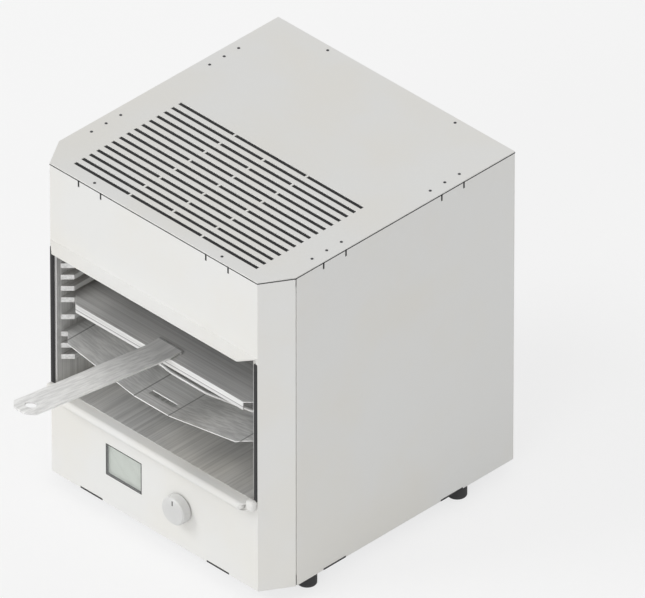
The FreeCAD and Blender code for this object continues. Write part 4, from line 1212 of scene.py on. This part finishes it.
@dataclass
class Heater(Assembly):
    """Overhead element with its hangers, reflector and temperature probe."""

    tube_radius: float = 0.0040
    passes: int = 6
    straight: float = 0.1920
    bend_steps: int = 16
    tube_sides: int = 18

    def tube_line(self) -> list[Vector]:
        """Middle line of the element, to and fro under the ceiling.

        Returns:
            Points from one rear leg to the other.
        """
        low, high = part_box("heating_element")
        pitch = (high.x - low.x - 2 * self.tube_radius) / (self.passes - 1)
        front = low.y + self.tube_radius + pitch / 2
        rear = front + self.straight
        level = (low.z + high.z) / 2
        line = [Vector((low.x + self.tube_radius, high.y, level))]
        for index in range(self.passes - 1):
            inward = index % 2 == 0
            across = low.x + self.tube_radius + (index + 0.5) * pitch
            middle = Vector((across, front if inward else rear, level))
            for step in range(self.bend_steps + 1):
                turn = math.pi * step / self.bend_steps
                swing = -math.sin(turn) if inward else math.sin(turn)
                line.append(middle + Vector((-math.cos(turn), swing, 0.0)) * pitch / 2)
        line.append(Vector((high.x - self.tube_radius, high.y, level)))
        return line

    def build(self) -> None:
        """Sweeps the round element along its line in place of the many-sided one."""
        line = self.tube_line()
        mesh = bmesh.new()
        rings = []
        for index, point in enumerate(line):
            ahead = line[min(index + 1, len(line) - 1)] - line[max(index - 1, 0)]
            aside = ahead.cross(Vector((0.0, 0.0, 1.0))).normalized()
            turns = [2 * math.pi * step / self.tube_sides for step in range(self.tube_sides)]
            spokes = [aside * math.cos(turn) + Vector((0.0, 0.0, math.sin(turn))) for turn in turns]
            rings.append([mesh.verts.new(point + spoke * self.tube_radius) for spoke in spokes])
        skin(mesh, rings)
        tube = self.add("element_tube", mesh, Finish.SHEATH, "cabinet", "element_sheath")
        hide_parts("heating_element")

    def finish(self) -> None:
        """Dresses the heater's other pieces."""
        self.dress(Finish.ZINC, Edge.FINE, "heater_hangers")
        self.dress(Finish.REFLECTOR, Edge.SHEET, "heat_reflector")
        self.dress(Finish.BRIGHT, Edge.FINE, "temperature_probe")


@dataclass
class ControlPanel(Assembly):
    """Display, encoder and knob behind and on the lower front."""

    face_colour: Colour = (0.62, 0.66, 0.61)
    face_rim: Colour = (0.05, 0.05, 0.055)
    window_flange: float = 0.0030
    gasket_width: float = 0.00045
    gasket_proud: float = 0.0003
    gasket_chamfer: float = 0.00015
    groove_inset: float = 0.0028
    groove_length: float = 0.0060
    groove_width: float = 0.0016
    groove_depth: float = 0.0007
    inlay_sink: float = 0.0001

    def build(self) -> None:
        """Adds the window's gasket and the knob's pointer inlay."""
        self.gasket()
        self.pointer()

    def gasket(self) -> None:
        """Frames the display window with a thin dark gasket."""
        low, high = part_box("display_window")
        flange = Vector((self.window_flange, 0.0, self.window_flange))
        low, high = low + flange, high - flange
        front = low.y - self.gasket_proud
        wide, cut = self.gasket_width, self.gasket_chamfer
        section = [(-wide, low.y + wide), (-wide, front + cut), (cut - wide, front),
                   (wide - cut, front), (wide, front + cut), (wide, low.y + wide)]
        mesh = bmesh.new()
        rings = []
        left, right, under, over = (low.x, -1), (high.x, 1), (low.z, -1), (high.z, 1)
        for (x, aside), (z, up) in ((left, under), (right, under), (right, over), (left, over)):
            rings.append([mesh.verts.new((x + aside * out, y, z + up * out)) for out, y in section])
        skin(mesh, rings + rings[:1], capped=False)
        self.add("window_gasket", mesh, Finish.RUBBER, "cabinet", "black_rubber")

    def pointer(self) -> None:
        """Lays a dark inlay in the knob's pointer groove."""
        low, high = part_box("knob")
        middle = (low.x + high.x) / 2
        top = high.z - self.groove_inset
        mesh = bmesh.new()
        slab(mesh, (middle - self.groove_width / 2, low.y + self.inlay_sink, top - self.groove_length),
             (middle + self.groove_width / 2, low.y + self.groove_depth, top), self.inlay_sink / 2)
        self.add("knob_pointer", mesh, Finish.MARK, "knob", "black_plastic")

    def finish(self) -> None:
        """Dresses the display, boards, encoder and knob."""
        low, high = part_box("display_module")
        middle = (low + high) / 2
        window_low, window_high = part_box("display_window")
        half = ((window_high.x - window_low.x) / 2 - self.window_flange,
                (window_high.z - window_low.z) / 2 - self.window_flange)
        face = DisplayFace("display_face", self.face_colour, self.face_rim, tuple(middle), half)
        self.dress(face.paint(), Edge.SHEET, "display_module")
        self.dress(Finish.WINDOW, Edge.PLAIN, "display_window")
        self.dress(Finish.BOARD, Edge.PLAIN, "control_board")
        self.dress(Finish.BRASS, Edge.FINE, "control_standoffs")
        self.dress(Finish.ZINC, Edge.FINE, "encoder")
        self.dress(Finish.BRIGHT, Edge.FINE, "encoder_nut")
        self.dress(Finish.BRIGHT, Edge.PLAIN, "encoder_shaft")
        self.dress(Finish.BLACK, Edge.PLAIN, "encoder_plunger")
        self.dress(Finish.KNOB, Edge.MOULDED, "knob")


@dataclass
class PowerStage(Assembly):
    """Power board with its relay, heat sink and terminals."""

    def finish(self) -> None:
        """Dresses the power stage's pieces."""
        self.dress(Finish.BOARD, Edge.PLAIN, "power_board")
        self.dress(Finish.BRASS, Edge.FINE, "power_standoffs")
        self.dress(Finish.RELAY, Edge.CASE, "relay")
        self.dress(Finish.SINK, Edge.FINE, "heat_sink")
        self.dress(Finish.TERMINAL, Edge.SMALL, "terminal_block")


@dataclass(frozen=True)
class CrossedHead:
    """Pan head of a screw with a cross recess."""

    radius: float = 0.0034
    height: float = 0.0019
    recess: float = 0.0011
    arm: float = 0.58
    arm_half: float = 0.13
    floor: float = 0.8
    profile: tuple[Span, ...] = ((0.8, 1.0), (0.96, 0.78), (1.0, 0.45), (1.0, 0.0))

    def cross(self) -> list[Span]:
        """Outline of the recess, as a cross of two equal arms.

        Returns:
            Corners of the cross, anticlockwise.
        """
        arm = self.radius * self.arm
        half = self.radius * self.arm_half
        quarter = [(arm, -half), (arm, half), (half, half)]
        corners = []
        for _ in range(4):
            corners += quarter
            quarter = [(-y, x) for x, y in quarter]
        return corners

    def build(self, mesh: bmesh.types.BMesh, place: Matrix) -> None:
        """Adds the head to a mesh.

        Args:
            mesh: The mesh that it is added to.
            place: Frame on the sheet, local Z outward.
        """
        cross = self.cross()
        deep = self.height - self.recess
        crown = [mesh.verts.new(place @ Vector((x, y, self.height))) for x, y in cross]
        floor = [mesh.verts.new(place @ Vector((x * self.floor, y * self.floor, deep))) for x, y in cross]
        mesh.faces.new(floor)
        skin(mesh, [crown, floor], capped=False)
        sides = 2 * len(cross)
        turns = [2 * math.pi * (step - 0.5) / sides for step in range(sides)]
        rim = []
        for share, level in self.profile:
            reach = self.radius * share
            rise = self.height * level
            ring = [Vector((reach * math.cos(turn), reach * math.sin(turn), rise)) for turn in turns]
            rim.append([mesh.verts.new(place @ point) for point in ring])
        skin(mesh, rim, capped=False)
        top = []
        for loop in (crown, rim[0]):
            top += [mesh.edges.get(pair) for pair in zip(loop, loop[1:] + loop[:1])]
        bmesh.ops.triangle_fill(mesh, use_beauty=True, edges=top)
        mesh.faces.new(rim[-1])


@dataclass
class CoolingFan(Assembly):
    """Fan behind the back panel's grille, with the screws that hold it."""

    hole_spacing: float = 0.0500
    head: CrossedHead = CrossedHead()

    def build(self) -> None:
        """Adds the four screw heads on the back panel."""
        low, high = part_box("fan_frame")
        centre = (low + high) / 2
        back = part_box("back_panel")[1].y
        half = self.hole_spacing / 2
        mesh = bmesh.new()
        for across in (-half, half):
            for up in (-half, half):
                self.head.build(mesh, Facing.BACK.stand((centre.x + across, back, centre.z + up)))
        self.add("fan_screw_heads", mesh, Finish.BRIGHT, "cabinet", "bright_fastener")

    def finish(self) -> None:
        """Dresses the fan."""
        self.dress(Finish.BLACK, Edge.MOULDED, "fan_frame")
        self.dress(Finish.BLACK, Edge.SMALL, "fan_rotor")


@dataclass
class MainsInlet(Assembly):
    """Appliance inlet in the back panel."""

    def finish(self) -> None:
        """Dresses the inlet and its pins."""
        self.dress(Finish.BLACK, Edge.MOULDED, "mains_inlet")
        self.dress(Finish.BRIGHT, Edge.FINE, "inlet_pins")


@dataclass
class Trays(Assembly):
    """Two trays and the hooked lifter."""

    steel: Colour = (0.90, 0.90, 0.89)
    lifter_steel: Colour = (0.92, 0.92, 0.91)
    channel: float = 0.0500
    flange: float = 0.0120
    hem: float = 0.0040
    hem_mark: float = 0.0007
    bend_inset: float = 0.0010
    bend_mark: float = 0.0018
    sheet: float = 0.0012
    bead_setback: float = 0.0560
    bead_half: float = 0.0028
    bead_height: float = 0.0018
    bead_steps: int = 8

    def build(self) -> None:
        """Runs a low pressed bead across the lower tray, along its folded profile."""
        low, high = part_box("lower_tray")
        middle = low.y + self.bead_setback
        shoulder = high.x - self.flange
        floor = low.z + self.sheet
        channel = self.channel / 2
        turns = [math.pi * step / self.bead_steps for step in range(self.bead_steps + 1)]
        arch = [(-self.bead_half * math.cos(turn), self.bead_height * math.sin(turn)) for turn in turns]
        mesh = bmesh.new()
        rings = []
        for across, level in ((-shoulder, high.z), (-channel, floor), (channel, floor), (shoulder, high.z)):
            rings.append([mesh.verts.new((across, middle + along, level + up)) for along, up in arch])
        skin(mesh, rings)
        steel = self.bare("tray_bead_brushed").paint()
        self.add("lower_tray_bead", mesh, steel, "lower_tray", "tray_steel")

    def bare(self, name: str) -> BrushedSteel:
        """The trays' brushed steel, with no painted crease lines."""
        return BrushedSteel(name, self.steel, Grain.ALONG_X, rough=0.42, tint=0.1, metal=0.65)

    def finish(self) -> None:
        """Dresses trays and lifter, with dark lines painted along their folds as crease shade."""
        hem = (("Z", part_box("upper_tray")[0].z + self.hem),)
        upper = replace(self.bare("upper_tray_brushed"), folds=hem, mark=self.hem_mark)
        self.dress(upper.paint(), Edge.SHEET, "upper_tray")
        wings = (("X", self.channel / 2), ("X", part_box("lower_tray")[1].x - self.flange))
        lower = replace(self.bare("lower_tray_brushed"), folds=wings)
        self.dress(lower.paint(), Edge.SHEET, "lower_tray")
        bend = (("Y", abs(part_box("tray_lifter")[1].y) + self.bend_inset),)
        lifter = BrushedSteel("lifter_brushed", self.lifter_steel, Grain.ALONG_Y, rough=0.38, tint=0.05,
                              metal=0.4, folds=bend, mark=self.bend_mark)
        self.dress(lifter.paint(), Edge.SHEET, "tray_lifter")


@dataclass(frozen=True)
class Lamp:
    """A soft lamp that is far away, with the direction that its light comes from."""

    name: str
    source: Point
    strength: float
    angle: float = math.radians(28)

    def hang(self) -> None:
        """Adds the lamp to the scene."""
        light = bpy.data.lights.new(self.name, "SUN")
        light.energy = self.strength
        light.angle = self.angle
        piece = bpy.data.objects.new(self.name, light)
        piece.rotation_euler = Vector(self.source).to_track_quat("Z", "Y").to_euler()
        bpy.context.scene.collection.objects.link(piece)


@dataclass
class Studio:
    """Pale floor, soft light and the camera at the picture's viewing angle."""

    picture: tuple[int, int] = (645, 598)
    corner_pixel: tuple[float, float] = (50.0, 163.0)
    corner_inset: float = 21.0 * MM
    pixel: float = 1.25 * MM * math.sqrt(2 / 3)
    azimuth: float = math.radians(45)
    elevation: float = math.atan(1 / math.sqrt(2))
    lens: float = 1400.0
    surround: float = 0.55
    near_clip: float = 0.5
    far_clip: float = 3.0
    floor_colour: Colour = (0.86, 0.86, 0.86)
    floor_rough: float = 0.8
    floor_half: float = 9.0
    floor_glow: float = 0.70
    lamps: tuple[Lamp, ...] = (
        Lamp("key", (-0.45, -0.60, 0.66), 0.88),
        Lamp("side", (0.90, -0.10, 0.43), 0.12),
        Lamp("front", (0.30, -0.85, 0.36), 0.68))

    def floor(self) -> None:
        """Lays a pale floor that stays white to the camera and keeps the shadow."""
        paint = Paint("pale_floor")
        paint.set(Base_Color=self.floor_colour, Roughness=self.floor_rough)
        white = paint.node("ShaderNodeEmission", None, {"Color": WHITE, "Strength": 1.0})
        shader = Sock(paint, paint.shader.outputs["BSDF"])
        inputs = {0: paint.seen() * self.floor_glow, 1: shader, 2: white}
        paint.feed(paint.output.inputs["Surface"], paint.node("ShaderNodeMixShader", None, inputs))
        mesh = bmesh.new()
        bmesh.ops.create_grid(mesh, x_segments=1, y_segments=1, size=self.floor_half)
        data = bpy.data.meshes.new("floor")
        mesh.to_mesh(data)
        mesh.free()
        data.materials.append(paint.material)
        piece = bpy.data.objects.new("floor", data)
        bpy.context.scene.collection.objects.link(piece)

    def world(self) -> None:
        """Sets a soft surrounding light, white where it is seen."""
        world = bpy.data.worlds.new("studio")
        world.use_nodes = True
        bpy.context.scene.world = world
        nodes = Nodes(world.node_tree)
        background = next(node for node in nodes.tree.nodes if node.type == "BACKGROUND")
        nodes.feed(background.inputs["Color"], WHITE)
        nodes.feed(background.inputs["Strength"], self.surround + nodes.seen() * (1 - self.surround))

    def camera(self) -> None:
        """Sets the camera so that the cabinet's front left top corner falls on its pixel."""
        back = Vector((math.sin(self.azimuth) * math.cos(self.elevation),
                       -math.cos(self.azimuth) * math.cos(self.elevation), math.sin(self.elevation)))
        right = Vector((math.cos(self.azimuth), math.sin(self.azimuth), 0.0))
        up = back.cross(right)
        low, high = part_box("front_frame")
        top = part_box("top_panel")[1].z
        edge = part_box("top_panel")[0]
        corner = Vector((edge.x + self.corner_inset, edge.y, top))
        across = corner.dot(right) - (self.corner_pixel[0] - self.picture[0] / 2) * self.pixel
        rise = corner.dot(up) - (self.picture[1] / 2 - self.corner_pixel[1]) * self.pixel
        depth = ((low + high) / 2).dot(back)
        data = bpy.data.cameras.new("picture_view")
        data.lens = self.lens
        distance = self.pixel * self.picture[0] / 2 / (data.sensor_width / 2 / self.lens)
        data.clip_start = self.near_clip
        data.clip_end = self.far_clip * distance
        camera = bpy.data.objects.new("picture_view", data)
        camera.location = right * across + up * rise + back * (depth + distance)
        camera.rotation_euler = back.to_track_quat("Z", "Y").to_euler()
        bpy.context.scene.collection.objects.link(camera)
        bpy.context.scene.camera = camera

    def build(self) -> None:
        """Makes the floor, the lights and the camera."""
        bpy.context.scene.view_settings.view_transform = "Standard"
        self.floor()
        self.world()
        for lamp in self.lamps:
            lamp.hang()
        self.camera()


def main() -> None:
    """Builds and dresses the oven, then sets the studio round it."""
    logging.basicConfig(level=logging.INFO, format="%(name)s: %(message)s")
    for kind in (Cabinet, Cavity, Heater, ControlPanel, PowerStage, CoolingFan, MainsInlet, Trays):
        assembly = kind()
        assembly.build()
        assembly.finish()
    Studio().build()


if __name__ == "__main__":
    main()
